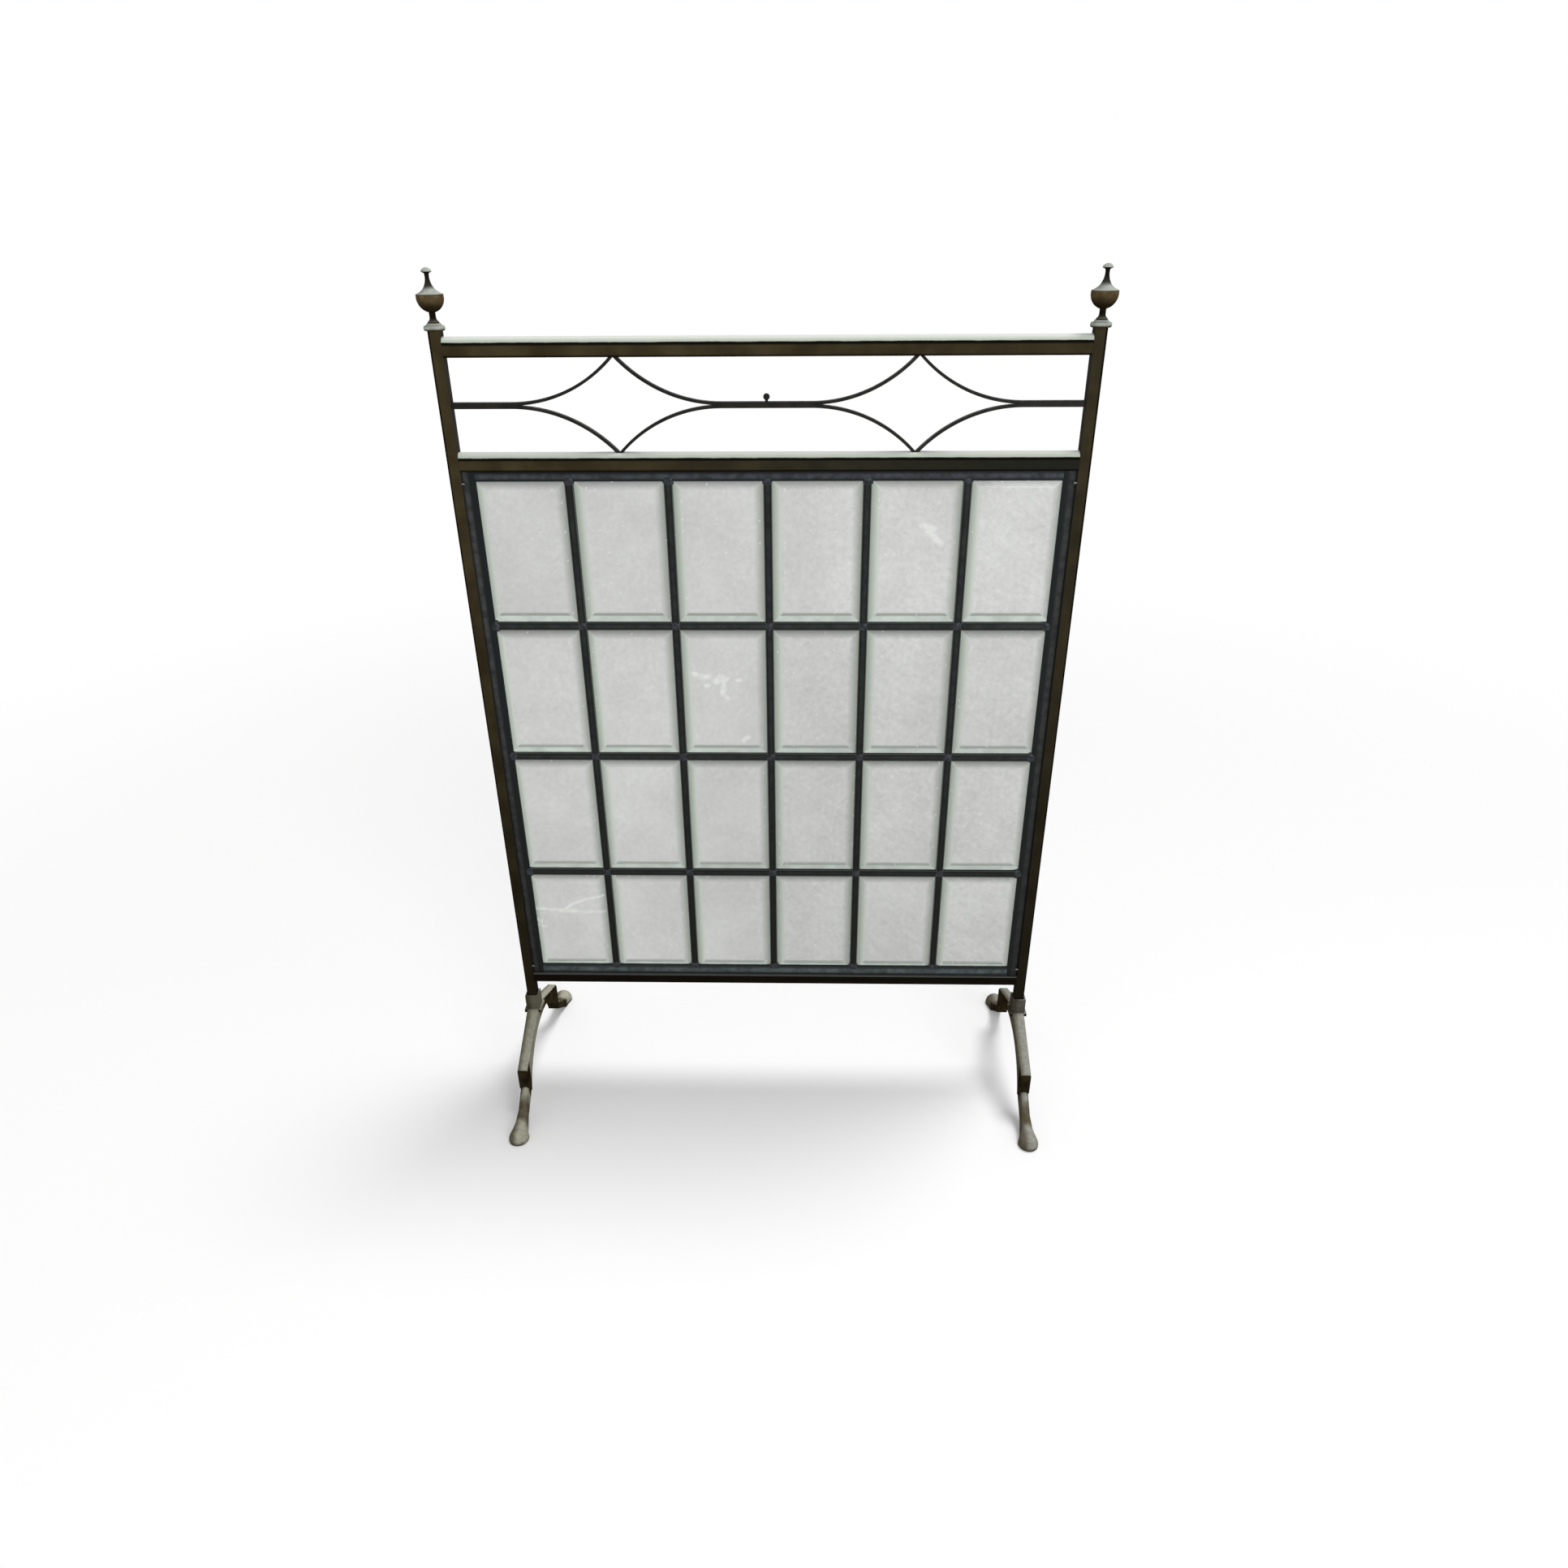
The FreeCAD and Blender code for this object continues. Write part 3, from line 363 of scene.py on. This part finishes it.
def lattice_paint():
    """Black paint over bent strip, slightly browned."""
    colours = (0.004, 0.004, 0.003), (0.014, 0.012, 0.009)
    shader = Shader("lattice_paint")
    cloud = shader.noise(12 * MM, detail=5.0)
    shader.set(
        Base_Color=shader.blend(shader.step(cloud, *CLEAR), *colours),
        Roughness=shader.step(shader.noise(4 * MM), *CLEAR, 0.4, 0.6),
        Specular_IOR_Level=0.15,
    )
    shader.bump(shader.noise(1 * MM), 0.15, 0.2 * MM)
    return shader.material


def bloom_brass(shader, bloom_and_light, brown, pale, dull):
    """Brown tarnish under a pale bloom, flecked with a duller one, laid where the mask of bloom and painted
    light says.
    """
    fleck = shader.noise(5 * MM, detail=5.0, roughness=0.65)
    bloom = shader.blend(shader.step(fleck, 0.35, 0.8), pale, dull)
    shader.set(
        Base_Color=shader.blend(bloom_and_light, brown, bloom),
        Roughness=shader.step(fleck, *SOFT, 0.44, 0.62),
        Specular_IOR_Level=0.0,
    )
    shader.bump(shader.noise(2.2 * MM, detail=4.0), 0.3, 0.3 * MM)
    return shader.material


def foot_bloom_and_light(shader, place, reach, cloud):
    """How much pale bloom, which also paints light, a foot has: on top with painted shade at the edges,
    round the socket, on the lit front flanks but not the rear ones or the knees, which stay dark as
    painted shade, and on the hoofs, thinner near the floor as painted shade.
    """
    flank_front = (-12 * MM, -4 * MM)
    up = shader.plus(shader.normal_part("Z"), shader.step(cloud, *SOFT, -0.12, 0.12))
    # Painted shade: less bloom near sharp edges.
    plain = shader.minus(1.0, shader.times(shader.edge(2.4 * MM), 0.85))
    top = shader.times(shader.step(up, 0.36, 0.78), plain)
    socket = shader.fall(reach, *SOCKET_FADE, 0.24)
    # Painted light on the front flanks; the rear ones and the knees stay dark as painted shade.
    flank = shader.step(shader.size(shader.normal_part("X")), 0.4, 0.8, 0.0, 0.62)
    flank = shader.times(flank, shader.fall(place["Y"], *flank_front))
    flank = shader.times(flank, shader.minus(1.0, shader.within(reach, *KNEE)))
    # Painted shade: the bloom on a hoof thins near the floor.
    hoof = shader.times(shader.step(reach, *HOOF_REACH), shader.step(place["Z"], *HOOF_HEIGHT, 0.1, 0.85))
    return shader.most([top, socket, flank, hoof])


def foot_stain_and_shade(shader, place, reach, cloud, middle):
    """How far the bloom is browned: by a stain at the ankles, and by painted shade towards the left of each
    foot.
    """
    left_shade_fade = (-6.5 * MM, 1.5 * MM)
    stain = shader.times(shader.within(reach, *ANKLE), shader.step(cloud, 0.3, 0.6, 0.7, 1.0))
    own_middle = shader.times(shader.math("SIGN", place["X"]), middle)
    aside = shader.minus(place["X"], own_middle)
    # Painted shade: browner towards the left of each foot.
    return shader.most([stain, shader.fall(aside, *left_shade_fade, 0.8)])


def foot_brass(middle):
    """Cast brass under a dusty bloom that also paints light on its tops and front flanks, greyer on the
    right foot, stained at the ankles, and with painted shade to the left, at the knees and edges.

    Middle is how far a foot's own middle is from the screen's.
    """
    browns = (0.010, 0.0075, 0.004), (0.034, 0.026, 0.013)
    pales = (0.45, 0.44, 0.355), (0.33, 0.33, 0.29)
    dulls = (0.30, 0.285, 0.205), (0.215, 0.21, 0.175)
    stain_and_shade_pale, stain_and_shade_dull = (0.105, 0.086, 0.052), (0.075, 0.060, 0.035)
    shader = Shader("foot_brass")
    place = shader.parts(shader.place())
    reach = shader.size(place["Y"])
    cloud = shader.noise(12 * MM, detail=6.0, roughness=0.6)
    brown = shader.blend(shader.step(cloud, *CLEAR), *browns)
    bloom_and_light = foot_bloom_and_light(shader, place, reach, cloud)
    stain_and_shade = foot_stain_and_shade(shader, place, reach, cloud, middle)
    greyed = shader.step(place["X"], *HALF_TO_HALF)
    pale = shader.blend(stain_and_shade, shader.blend(greyed, *pales), stain_and_shade_pale)
    dull = shader.blend(stain_and_shade, shader.blend(greyed, *dulls), stain_and_shade_dull)
    return bloom_brass(shader, bloom_and_light, brown, pale, dull)


def turned_brass(name, bloom_light_tilts, slim_radius):
    """Turned brass: golden brown, with painted shade on faces turned down, black where it is slim, and a
    pale bloom above that is also a painted highlight.

    The tilt argument gives the upward tilts where the bloom and highlight start and are full, and
    slim_radius, as a share of the piece's width, the radius within which its stem and neck are black.
    """
    browns = (0.016, 0.011, 0.005), (0.115, 0.083, 0.039)
    pale, dull = (0.47, 0.50, 0.46), (0.33, 0.345, 0.305)
    button_height = (0.91, 0.95)
    shader = Shader(name)
    cloud = shader.noise(8 * MM, detail=5.0, roughness=0.6)
    tilt = shader.normal_part("Z")
    # Painted shade: faces turned down are darker.
    brown = shader.blend(shader.step(tilt, -0.75, 0.05), *browns)
    brown = shader.dim(brown, shader.step(cloud, *SOFT, 0.6, 1.2))
    across = shader.parts(shader.place())["X"]
    brown = shader.dim(brown, shader.step(across, *HALF_TO_HALF, 1.0, 0.85))
    slim = shader.fall(shader.off_axis(), 0.7 * slim_radius, 1.3 * slim_radius)
    slim = shader.times(slim, shader.fall(shader.share("Z"), *button_height, 0.92))
    brown = shader.blend(slim, brown, BLACK)
    # Painted highlight: the bloom on faces turned up also stands in for light.
    up = shader.plus(tilt, shader.step(cloud, *SOFT, -0.1, 0.1))
    bloom_and_light = shader.times(shader.step(up, *bloom_light_tilts), shader.minus(1.0, slim))
    return bloom_brass(shader, bloom_and_light, brown, pale, dull)


def lead(name, side, middle, axis, floor_shade=0.0, ridge_share=0.5, haze=0.0):
    """Blackened lead with a painted cool sheen along its face, standing for a highlight, with small dents.

    The painted sheen is brightest at ridge_share of the way across, the floor argument is the share
    by which painted shade blackens it near the floor, and haze the share of pale cement left along
    the edges.
    """
    floor_shade_colour, cement = (0.006, 0.006, 0.004), (0.115, 0.12, 0.108)
    floor_shade_heights = (0.15, 0.7)
    shader = Shader(name)
    # Painted highlight along the face, brightest at ridge_share of the way across.
    off_ridge = shader.size(shader.minus(shader.share(axis), ridge_share))
    ridge = shader.fall(off_ridge, 0.08, 0.42)
    cloud = shader.step(shader.noise(9 * MM, detail=5.0), 0.28, 0.7, 0.35, 1.0)
    sheen = shader.blend(shader.times(ridge, cloud), side, middle)
    # Painted shade: darker towards the floor.
    floor_shaded = shader.fall(shader.parts(shader.place())["Z"], *floor_shade_heights, floor_shade)
    dark = shader.blend(floor_shaded, sheen, floor_shade_colour)
    shader.set(
        Base_Color=shader.blend(shader.step(off_ridge, 0.36, 0.5, 0.0, haze), dark, cement),
        Metallic=0.2,
        Roughness=shader.step(shader.noise(3 * MM), *SOFT, 0.40, 0.58),
        Specular_IOR_Level=0.12,
        Specular_Tint=(0.92, 0.97, 0.98),
    )
    shader.bump(shader.noise(4 * MM, detail=2.0), 0.25, 0.4 * MM)
    return shader.material


def solder():
    """Blackened solder, mottled where it froze."""
    colours = (0.010, 0.013, 0.016), (0.045, 0.052, 0.06)
    shader = Shader("came_solder")
    cloud = shader.noise(4 * MM, detail=5.0)
    shader.set(
        Base_Color=shader.blend(shader.step(cloud, 0.3, 0.72), *colours),
        Metallic=0.3,
        Roughness=shader.step(cloud, *SOFT, 0.28, 0.46),
        Specular_IOR_Level=0.2,
    )
    shader.bump(shader.noise(3 * MM), 0.3, 0.4 * MM)
    return shader.material


def steel():
    """Fastener steel, dulled and browned."""
    colours = (0.10, 0.095, 0.085), (0.24, 0.235, 0.22)
    shader = Shader("fastener_steel")
    cloud = shader.noise(3 * MM, detail=4.0)
    shader.set(
        Base_Color=shader.blend(cloud, *colours),
        Metallic=0.7,
        Roughness=shader.step(cloud, 0.2, 0.8, 0.35, 0.55),
    )
    return shader.material


def mark(shader, flat_place, start, end, half_width):
    """1 along a straight mark across the panel, fading at its edges."""
    foot = Vector((start[0], 0, start[1])) * MM
    run = Vector((end[0], 0, end[1])) * MM - foot
    away = shader.vector("SUBTRACT", flat_place, foot)["Vector"]
    along = shader.vector("DOT_PRODUCT", away, run / run.length_squared)["Value"]
    share = shader.node("ShaderNodeClamp", {"Value": along}).outputs[0]
    gap = shader.vector("DISTANCE", away, shader.dim(tuple(run), share))["Value"]
    return shader.fall(gap, 0.2 * half_width * MM, half_width * MM)


def marks(shader, strokes):
    """All of a list of marks, broken up like dried smears."""
    wobble_size, wobble_reach = 12 * MM, 3.0 * MM
    inputs = {"Vector": shader.place(), "Scale": 1.0 / wobble_size}
    wobble = shader.node("ShaderNodeTexNoise", inputs).outputs["Color"]
    reach = (wobble_reach, 0.0, wobble_reach)
    shifted = shader.vector("MULTIPLY_ADD", wobble, reach, shader.place())["Vector"]
    flat_place = shader.vector("MULTIPLY", shifted, (1.0, 0.0, 1.0))["Vector"]
    drawn = shader.most([mark(shader, flat_place, *stroke) for stroke in strokes])
    broken = shader.step(shader.noise(4 * MM, detail=4.0), 0.3, 0.62, 0.35, 1.0)
    return shader.times(drawn, broken)


def specks(shader, place):
    """1 on small scattered specks."""
    spacing = 9 * MM
    flat_place = shader.node("ShaderNodeCombineXYZ", {"X": place["X"], "Y": place["Z"]}).outputs[0]
    inputs = {"Vector": flat_place, "Scale": 1.0 / spacing}
    cells = shader.node("ShaderNodeTexVoronoi", inputs, voronoi_dimensions="2D").outputs
    near = shader.fall(cells["Distance"], 0.05, 0.12)
    chosen = shader.step(shader.parts(cells["Color"])["X"], 0.78, 1.0)
    return shader.times(near, chosen)


def sill_tint_and_light(shader, place, reach, flat_tint):
    """The tint along a pane's foot: a painted highlight on its bevel, brighter in the top row, under the
    painted dark line of its arris.
    """
    bright, line = (0.52, 0.585, 0.53), (0.25, 0.29, 0.25)
    top_row_heights = (0.6, 0.8)
    # Painted highlight on the sill's bevel, brighter in the top row.
    bright = shader.dim(bright, shader.step(shader.noise(20 * MM, detail=5.0), *SOFT, 0.85, 1.12))
    bright = shader.dim(bright, shader.step(place["Z"], *top_row_heights, 1.0, 1.12))
    # Painted dark line at the arris.
    off_arris = shader.size(shader.minus(reach, BEVEL - 0.6 * MM))
    arris = shader.fall(off_arris, 0.5 * MM, 2.4 * MM, 0.9)
    inside = shader.step(reach, BEVEL - BEVEL_SOFT, BEVEL + BEVEL_SOFT)
    sill = shader.blend(inside, bright, flat_tint)
    return shader.blend(arris, sill, line)


def tint_and_bevel_light(shader, place, width, height, flat_tint):
    """A pane's tint with painted light on its bevels: painted shade that darkens them towards the lead,
    most at the top, a green painted highlight on the left one, and the sill's.
    """
    side_dark, top_dark = (0.25, 0.285, 0.245), (0.155, 0.17, 0.15)
    greens = (0.275, 0.325, 0.27), (0.60, 0.645, 0.585)
    lip = 3.3 * MM
    left = shader.times(shader.share("X"), width)
    bottom = shader.times(shader.share("Z"), height)
    right = shader.minus(width, left)
    top = shader.minus(height, bottom)
    beside = shader.least(left, right)
    above = shader.least(beside, top)
    reach = shader.least(above, bottom)
    # Painted shade on the bevels, darkening towards the lead and most at the top.
    under = shader.fall(shader.minus(top, beside), -BEVEL_SOFT, BEVEL_SOFT)
    dark = shader.blend(under, side_dark, top_dark)
    shade = shader.blend(shader.ramp(reach, lip, BEVEL + 1.5 * MM), dark, flat_tint)
    # Green painted highlight on the left bevel.
    on_left = shader.fall(shader.minus(left, top), -BEVEL_SOFT, BEVEL_SOFT)
    on_left = shader.times(on_left, shader.fall(left, BEVEL - BEVEL_SOFT, BEVEL + BEVEL_SOFT))
    green = shader.blend(shader.ramp(left, lip, BEVEL), *greens)
    shade = shader.blend(on_left, shade, green)
    low = shader.step(shader.minus(above, bottom), -BEVEL_SOFT, BEVEL_SOFT)
    return shader.blend(low, shade, sill_tint_and_light(shader, place, reach, flat_tint))


def shaded_tint_and_grain(shader, place):
    """The glass's grey tint, a painted shade of the surroundings seen through it, grained and, to the
    right, faintly streaked.
    """
    tones = (0.575, 0.575, 0.565), (0.655, 0.665, 0.645)
    grained, streaked = (-0.08, 0.08), (-0.02, 0.12)
    # The grey tint is painted shade of the surroundings seen through the glass.
    tone_cloud = shader.noise(110 * MM, detail=6.0, roughness=0.6)
    tone = shader.blend(shader.step(tone_cloud, *CLEAR), *tones)
    depth = shader.step(place["X"], *grained, 0.42, 0.62)
    grain = shader.minus(shader.noise(6 * MM, detail=6.0, roughness=0.7), 0.5)
    grain = shader.plus(shader.times(grain, depth), 1.0)
    rake = shader.stretched((6.0, 1.0, 1.0), turn=(0.0, math.radians(36), 0.0))
    rained = shader.step(shader.noise(6 * MM, vector=rake), 0.35, 0.7, 0.0, 0.06)
    streak = shader.plus(shader.times(rained, shader.step(place["X"], *streaked)), 1.0)
    return shader.dim(shader.dim(tone, grain), streak)


def pane_light_and_shade(shader, place):
    """A factor on the glass, painted shade and light: darker near the floor, lighter to the left, or to the
    right in the top row.
    """
    floor_heights, top_row_heights = (0.16, 0.62), (0.60, 0.67)
    left_to_right = (-0.2, 0.1)
    # Painted shade near the floor, and painted light to one side.
    lower = shader.step(place["Z"], *floor_heights, 0.93, 1.0)
    lean = shader.step(place["X"], *left_to_right, 0.075, -0.05)
    lean = shader.times(lean, shader.step(place["Z"], *top_row_heights, 1.0, -0.5))
    return shader.times(lower, shader.plus(lean, 1.0))


def bevelled_glass(width, height):
    """Thick old glass with a grey tint that paints the shade seen through it, painted light on its
    ground bevels, faint streaks, cracks, smears and specks.
    """
    mark_colour, mark_strength = (0.82, 0.84, 0.80), 0.8
    shader = Shader("bevelled_glass")
    place = shader.parts(shader.place())
    tint = tint_and_bevel_light(shader, place, width, height, shaded_tint_and_grain(shader, place))
    tint = shader.dim(tint, pane_light_and_shade(shader, place))
    light = shader.most([marks(shader, CRACKS), marks(shader, SMEARS), specks(shader, place)])
    shader.set(
        Base_Color=shader.blend(shader.times(light, mark_strength), tint, mark_colour),
        Transmission_Weight=0.95,
        Roughness=shader.step(shader.noise(3.5 * MM, detail=4.0), 0.3, 0.75, 0.05, 0.16),
        IOR=1.5,
    )
    shader.bump(shader.noise(30 * MM, detail=1.0), 0.12, 0.4 * MM)
    return shader.material


def new_piece(name, mesh_maker, material, body):
    """A mesh piece from a function that fills a bmesh, riding on a CAD body."""
    mesh = bpy.data.meshes.new(name)
    work = bmesh.new()
    mesh_maker(work)
    work.to_mesh(mesh)
    work.free()
    piece = bpy.data.objects.new(name, mesh)
    bpy.context.scene.collection.objects.link(piece)
    mesh.materials.append(material)
    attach(piece, body)


def finish_node(name, material):
    """Give a CAD node its material."""
    node = NODES[name]
    node.data.materials.clear()
    node.data.materials.append(material)


def blob_ring(work, x, z, face_y, outward, share, wobble):
    """The points of a blob's ring, at a share of its radius."""
    rise = BLOB_HEIGHT * math.cos(share * math.pi / 2) - BLOB_SKIRT * share**3
    ring = []
    for turn, uneven in enumerate(wobble):
        angle = 2 * math.pi * turn / BLOB_ROUNDS
        reach = BLOB_RADIUS * share * uneven
        place = (x + reach * math.cos(angle), face_y + outward * rise, z + reach * math.sin(angle))
        ring.append(work.verts.new(place))
    return ring


def add_blob(work, x, z, face_y, wobble):
    """One flat, uneven blob on a face of the panel, standing out from the panel's middle."""
    outward = 1.0 if face_y > 0 else -1.0
    crown = work.verts.new((x, face_y + outward * BLOB_HEIGHT, z))
    inner = None
    for number in range(1, BLOB_RINGS + 1):
        ring = blob_ring(work, x, z, face_y, outward, number / BLOB_RINGS, wobble)
        for turn in range(BLOB_ROUNDS):
            after = (turn + 1) % BLOB_ROUNDS
            if inner is None:
                work.faces.new((crown, ring[turn], ring[after]))
            else:
                work.faces.new((inner[turn], ring[turn], ring[after], inner[after]))
        inner = ring


def solder_maker(places, face_y):
    """A function that fills a bmesh with the solder on one face of the panel."""
    def fill(work):
        draw = random.Random(BLOB_SEED)
        for x, z in places:
            wobble = [draw.uniform(*BLOB_WOBBLE) for _ in range(BLOB_ROUNDS)]
            add_blob(work, x, z, face_y, wobble)
        bmesh.ops.recalc_face_normals(work, faces=work.faces)
        for face in work.faces:
            face.smooth = True

    return fill


def came_joints():
    """Where cames meet each other and the borders, as (x, z)."""
    columns = [centre(f"vertical_came_{number}").x for number in range(1, COLUMNS)]
    rows = [centre(f"row_{number}_cames").z for number in range(1, ROWS)]
    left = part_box("left_border_came")[1].x
    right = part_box("right_border_came")[0].x
    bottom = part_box("bottom_border_came")[1].z
    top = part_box("top_border_came")[0].z
    joints = [(x, z) for x in columns for z in rows]
    joints += [(x, z) for x in (left, right) for z in rows]
    joints += [(x, z) for x in columns for z in (bottom, top)]
    return joints


def centre(node):
    """The middle of a node's box."""
    low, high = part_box(node)
    return (low + high) / 2


def extent(node):
    """The size of a node's box."""
    low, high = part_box(node)
    return high - low


def place_camera():
    """A camera at the photograph's view."""
    yaw_sin, yaw_cos = math.sin(CAMERA_YAW), math.cos(CAMERA_YAW)
    pitch_sin, pitch_cos = math.sin(CAMERA_PITCH), math.cos(CAMERA_PITCH)
    right = Vector((yaw_cos, yaw_sin, 0))
    ahead = Vector((-yaw_sin, yaw_cos, 0))
    up = Vector((0, 0, 1))
    forward = ahead * pitch_cos - up * pitch_sin
    down = -ahead * pitch_sin - up * pitch_cos
    rolled_right = right * math.cos(CAMERA_ROLL) + down * math.sin(CAMERA_ROLL)
    rolled_down = down * math.cos(CAMERA_ROLL) - right * math.sin(CAMERA_ROLL)
    data = bpy.data.cameras.new("camera")
    data.lens = CAMERA_LENS_MM
    data.sensor_width = SENSOR_MM
    data.clip_start = NEAR_CLIP
    camera = bpy.data.objects.new("camera", data)
    turned = Matrix((rolled_right, -rolled_down, -forward)).transposed()
    camera.matrix_world = Matrix.Translation(CAMERA_PLACE) @ turned.to_4x4()
    bpy.context.scene.collection.objects.link(camera)
    bpy.context.scene.camera = camera


def front_light():
    """A round lamp aimed at the screen, which doesn't itself show through the glass."""
    data = bpy.data.lights.new("front_fill", "AREA")
    data.shape = "DISK"
    data.size = FILL_SIZE
    data.energy = FILL_POWER
    light = bpy.data.objects.new("front_fill", data)
    light.location = FILL_PLACE
    light.rotation_euler = (FILL_TARGET - FILL_PLACE).to_track_quat("-Z", "Y").to_euler()
    light.visible_transmission = False
    bpy.context.scene.collection.objects.link(light)


def overhead_light():
    """Even light from far off, as soft as the angle that it spreads over."""
    data = bpy.data.lights.new("overhead", "SUN")
    data.angle = OVERHEAD_SPREAD
    data.energy = OVERHEAD_POWER
    light = bpy.data.objects.new("overhead", data)
    light.rotation_euler = OVERHEAD_TOWARDS.to_track_quat("Z", "Y").to_euler()
    bpy.context.scene.collection.objects.link(light)


def seen_background(nodes, links):
    """1 for rays that should meet the white background: from the camera, off gloss or through glass."""
    path = nodes.new("ShaderNodeLightPath")
    total = path.outputs["Is Camera Ray"]
    for name in ("Is Glossy Ray", "Is Transmission Ray"):
        most = nodes.new("ShaderNodeMath")
        most.operation = "MAXIMUM"
        links.new(total, most.inputs[0])
        links.new(path.outputs[name], most.inputs[1])
        total = most.outputs[0]
    return total


def light_world():
    """White where it is seen, and a soft even light elsewhere."""
    world = bpy.data.worlds.new("studio")
    bpy.context.scene.world = world
    world.use_nodes = True
    nodes, links = world.node_tree.nodes, world.node_tree.links
    lit = nodes["Background"]
    seen = nodes.new("ShaderNodeBackground")
    for background, strength in ((lit, AMBIENT), (seen, 1.0)):
        background.inputs["Color"].default_value = (*WHITE, 1.0)
        background.inputs["Strength"].default_value = strength
    mix = nodes.new("ShaderNodeMixShader")
    links.new(seen_background(nodes, links), mix.inputs[0])
    links.new(lit.outputs[0], mix.inputs[1])
    links.new(seen.outputs[0], mix.inputs[2])
    links.new(mix.outputs[0], nodes["World Output"].inputs["Surface"])


def floor_paper():
    """Pale paper with a faint glow, fading into the white background away from the screen."""
    shader = Shader("floor_paper")
    nodes, links = shader.nodes, shader.links
    shader.set(Base_Color=(0.88, 0.88, 0.88), Roughness=0.9, Specular_IOR_Level=0.1)
    seen = seen_background(nodes, links)
    lift = shader.times(seen, FLOOR_GLOW)
    glow = shader.node("ShaderNodeEmission", {"Color": WHITE, "Strength": lift})
    near = shader.node("ShaderNodeAddShader")
    links.new(shader.surface.outputs[0], near.inputs[0])
    links.new(glow.outputs[0], near.inputs[1])
    white = shader.node("ShaderNodeEmission", {"Color": WHITE, "Strength": 1.0})
    faded = shader.step(shader.vector("LENGTH", shader.place())["Value"], *FLOOR_FADE)
    mix = shader.node("ShaderNodeMixShader")
    links.new(shader.times(faded, seen), mix.inputs[0])
    links.new(near.outputs[0], mix.inputs[1])
    links.new(white.outputs[0], mix.inputs[2])
    links.new(mix.outputs[0], nodes["Material Output"].inputs["Surface"])
    return shader.material


def lay_floor():
    """A plain floor under the screen."""
    low, high = -FLOOR_REACH, FLOOR_REACH
    mesh = bpy.data.meshes.new("floor")
    corners = [(low, low, 0), (high, low, 0), (high, high, 0), (low, high, 0)]
    mesh.from_pydata(corners, [], [(0, 1, 2, 3)])
    mesh.materials.append(floor_paper())
    floor = bpy.data.objects.new("floor", mesh)
    bpy.context.scene.collection.objects.link(floor)


# Sizes that the materials take from the frame.
TUBE = extent("left_post").x
RAIL_HEIGHT = extent("top_rail").z
PANE = extent("pane_row2_col1")
FOOT_MIDDLE = centre("right_foot").x

# The material of each slot of the record, and of the nodes that have one of their own.
SLOT_MATERIALS = {
    "frame_paint": frame_paint("post_paint", DULL_CROWN_HIGHLIGHT, "X", TUBE, TUBE, POST_EDGE_SHADE, floor_shade=0.72, right_darkening=0.35),
    "lattice_paint": lattice_paint(),
    "tarnished_brass": foot_brass(FOOT_MIDDLE),
    "lead": lead("upright_lead", (0.006, 0.007, 0.006), (0.024, 0.029, 0.028), "X", floor_shade=0.85, haze=0.85),
    "glass": bevelled_glass(PANE.x, PANE.z),
    "steel": steel(),
}
OWN_MATERIALS = {
    "top_rail": rail_paint("top_rail_paint", PALE_CROWN_HIGHLIGHT, RAIL_HEIGHT, floor_shade=0.0, right_darkening=0.2),
    "second_rail": rail_paint("second_rail_paint", PALE_CROWN_HIGHLIGHT, RAIL_HEIGHT, floor_shade=0.0, right_darkening=0.95),
    "bottom_rail": rail_paint("bottom_rail_paint", DULL_CROWN_HIGHLIGHT, TUBE, floor_shade=0.95, right_darkening=0.0),
    "top_border_came": lead("top_lead", BORDER_SIDE, (0.056, 0.064, 0.072), "Z"),
    "bottom_border_came": lead("bottom_lead", (0.020, 0.024, 0.025), (0.092, 0.112, 0.114), "Z"),
    "left_border_came": lead(
        "left_lead", BORDER_SIDE, (0.066, 0.070, 0.069), "X", floor_shade=0.6, ridge_share=0.2),
    "right_border_came": lead(
        "right_lead", BORDER_SIDE, (0.040, 0.042, 0.041), "X", floor_shade=0.5, ridge_share=0.7),
}
LEVEL_LEAD = lead("level_lead", (0.008, 0.0095, 0.0085), (0.030, 0.037, 0.036), "Z", floor_shade=0.7, haze=0.6)
for row in range(1, ROWS):
    OWN_MATERIALS[f"row_{row}_cames"] = LEVEL_LEAD
FINIAL_BRASS = turned_brass("finial_brass", bloom_light_tilts=(0.08, 0.5), slim_radius=0.2)
FLANGE_BRASS = turned_brass("flange_brass", bloom_light_tilts=(-0.45, 0.25), slim_radius=0.01)
for side in ("left", "right"):
    OWN_MATERIALS[f"{side}_finial"] = FINIAL_BRASS
    OWN_MATERIALS[f"{side}_finial_flange"] = FLANGE_BRASS
for part in frame["record"]["subparts"]:
    slot_material = SLOT_MATERIALS[part["material_slot"]]
    finish_node(part["node"], OWN_MATERIALS.get(part["node"], slot_material))

SOLDER = solder()
panel_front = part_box("vertical_came_3")[0].y
panel_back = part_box("vertical_came_3")[1].y
new_piece("front_solder", solder_maker(came_joints(), panel_front), SOLDER, "screen")
new_piece("back_solder", solder_maker(came_joints(), panel_back), SOLDER, "screen")

place_camera()
lay_floor()
light_world()
overhead_light()
front_light()
bpy.context.scene.view_settings.view_transform = "Standard"
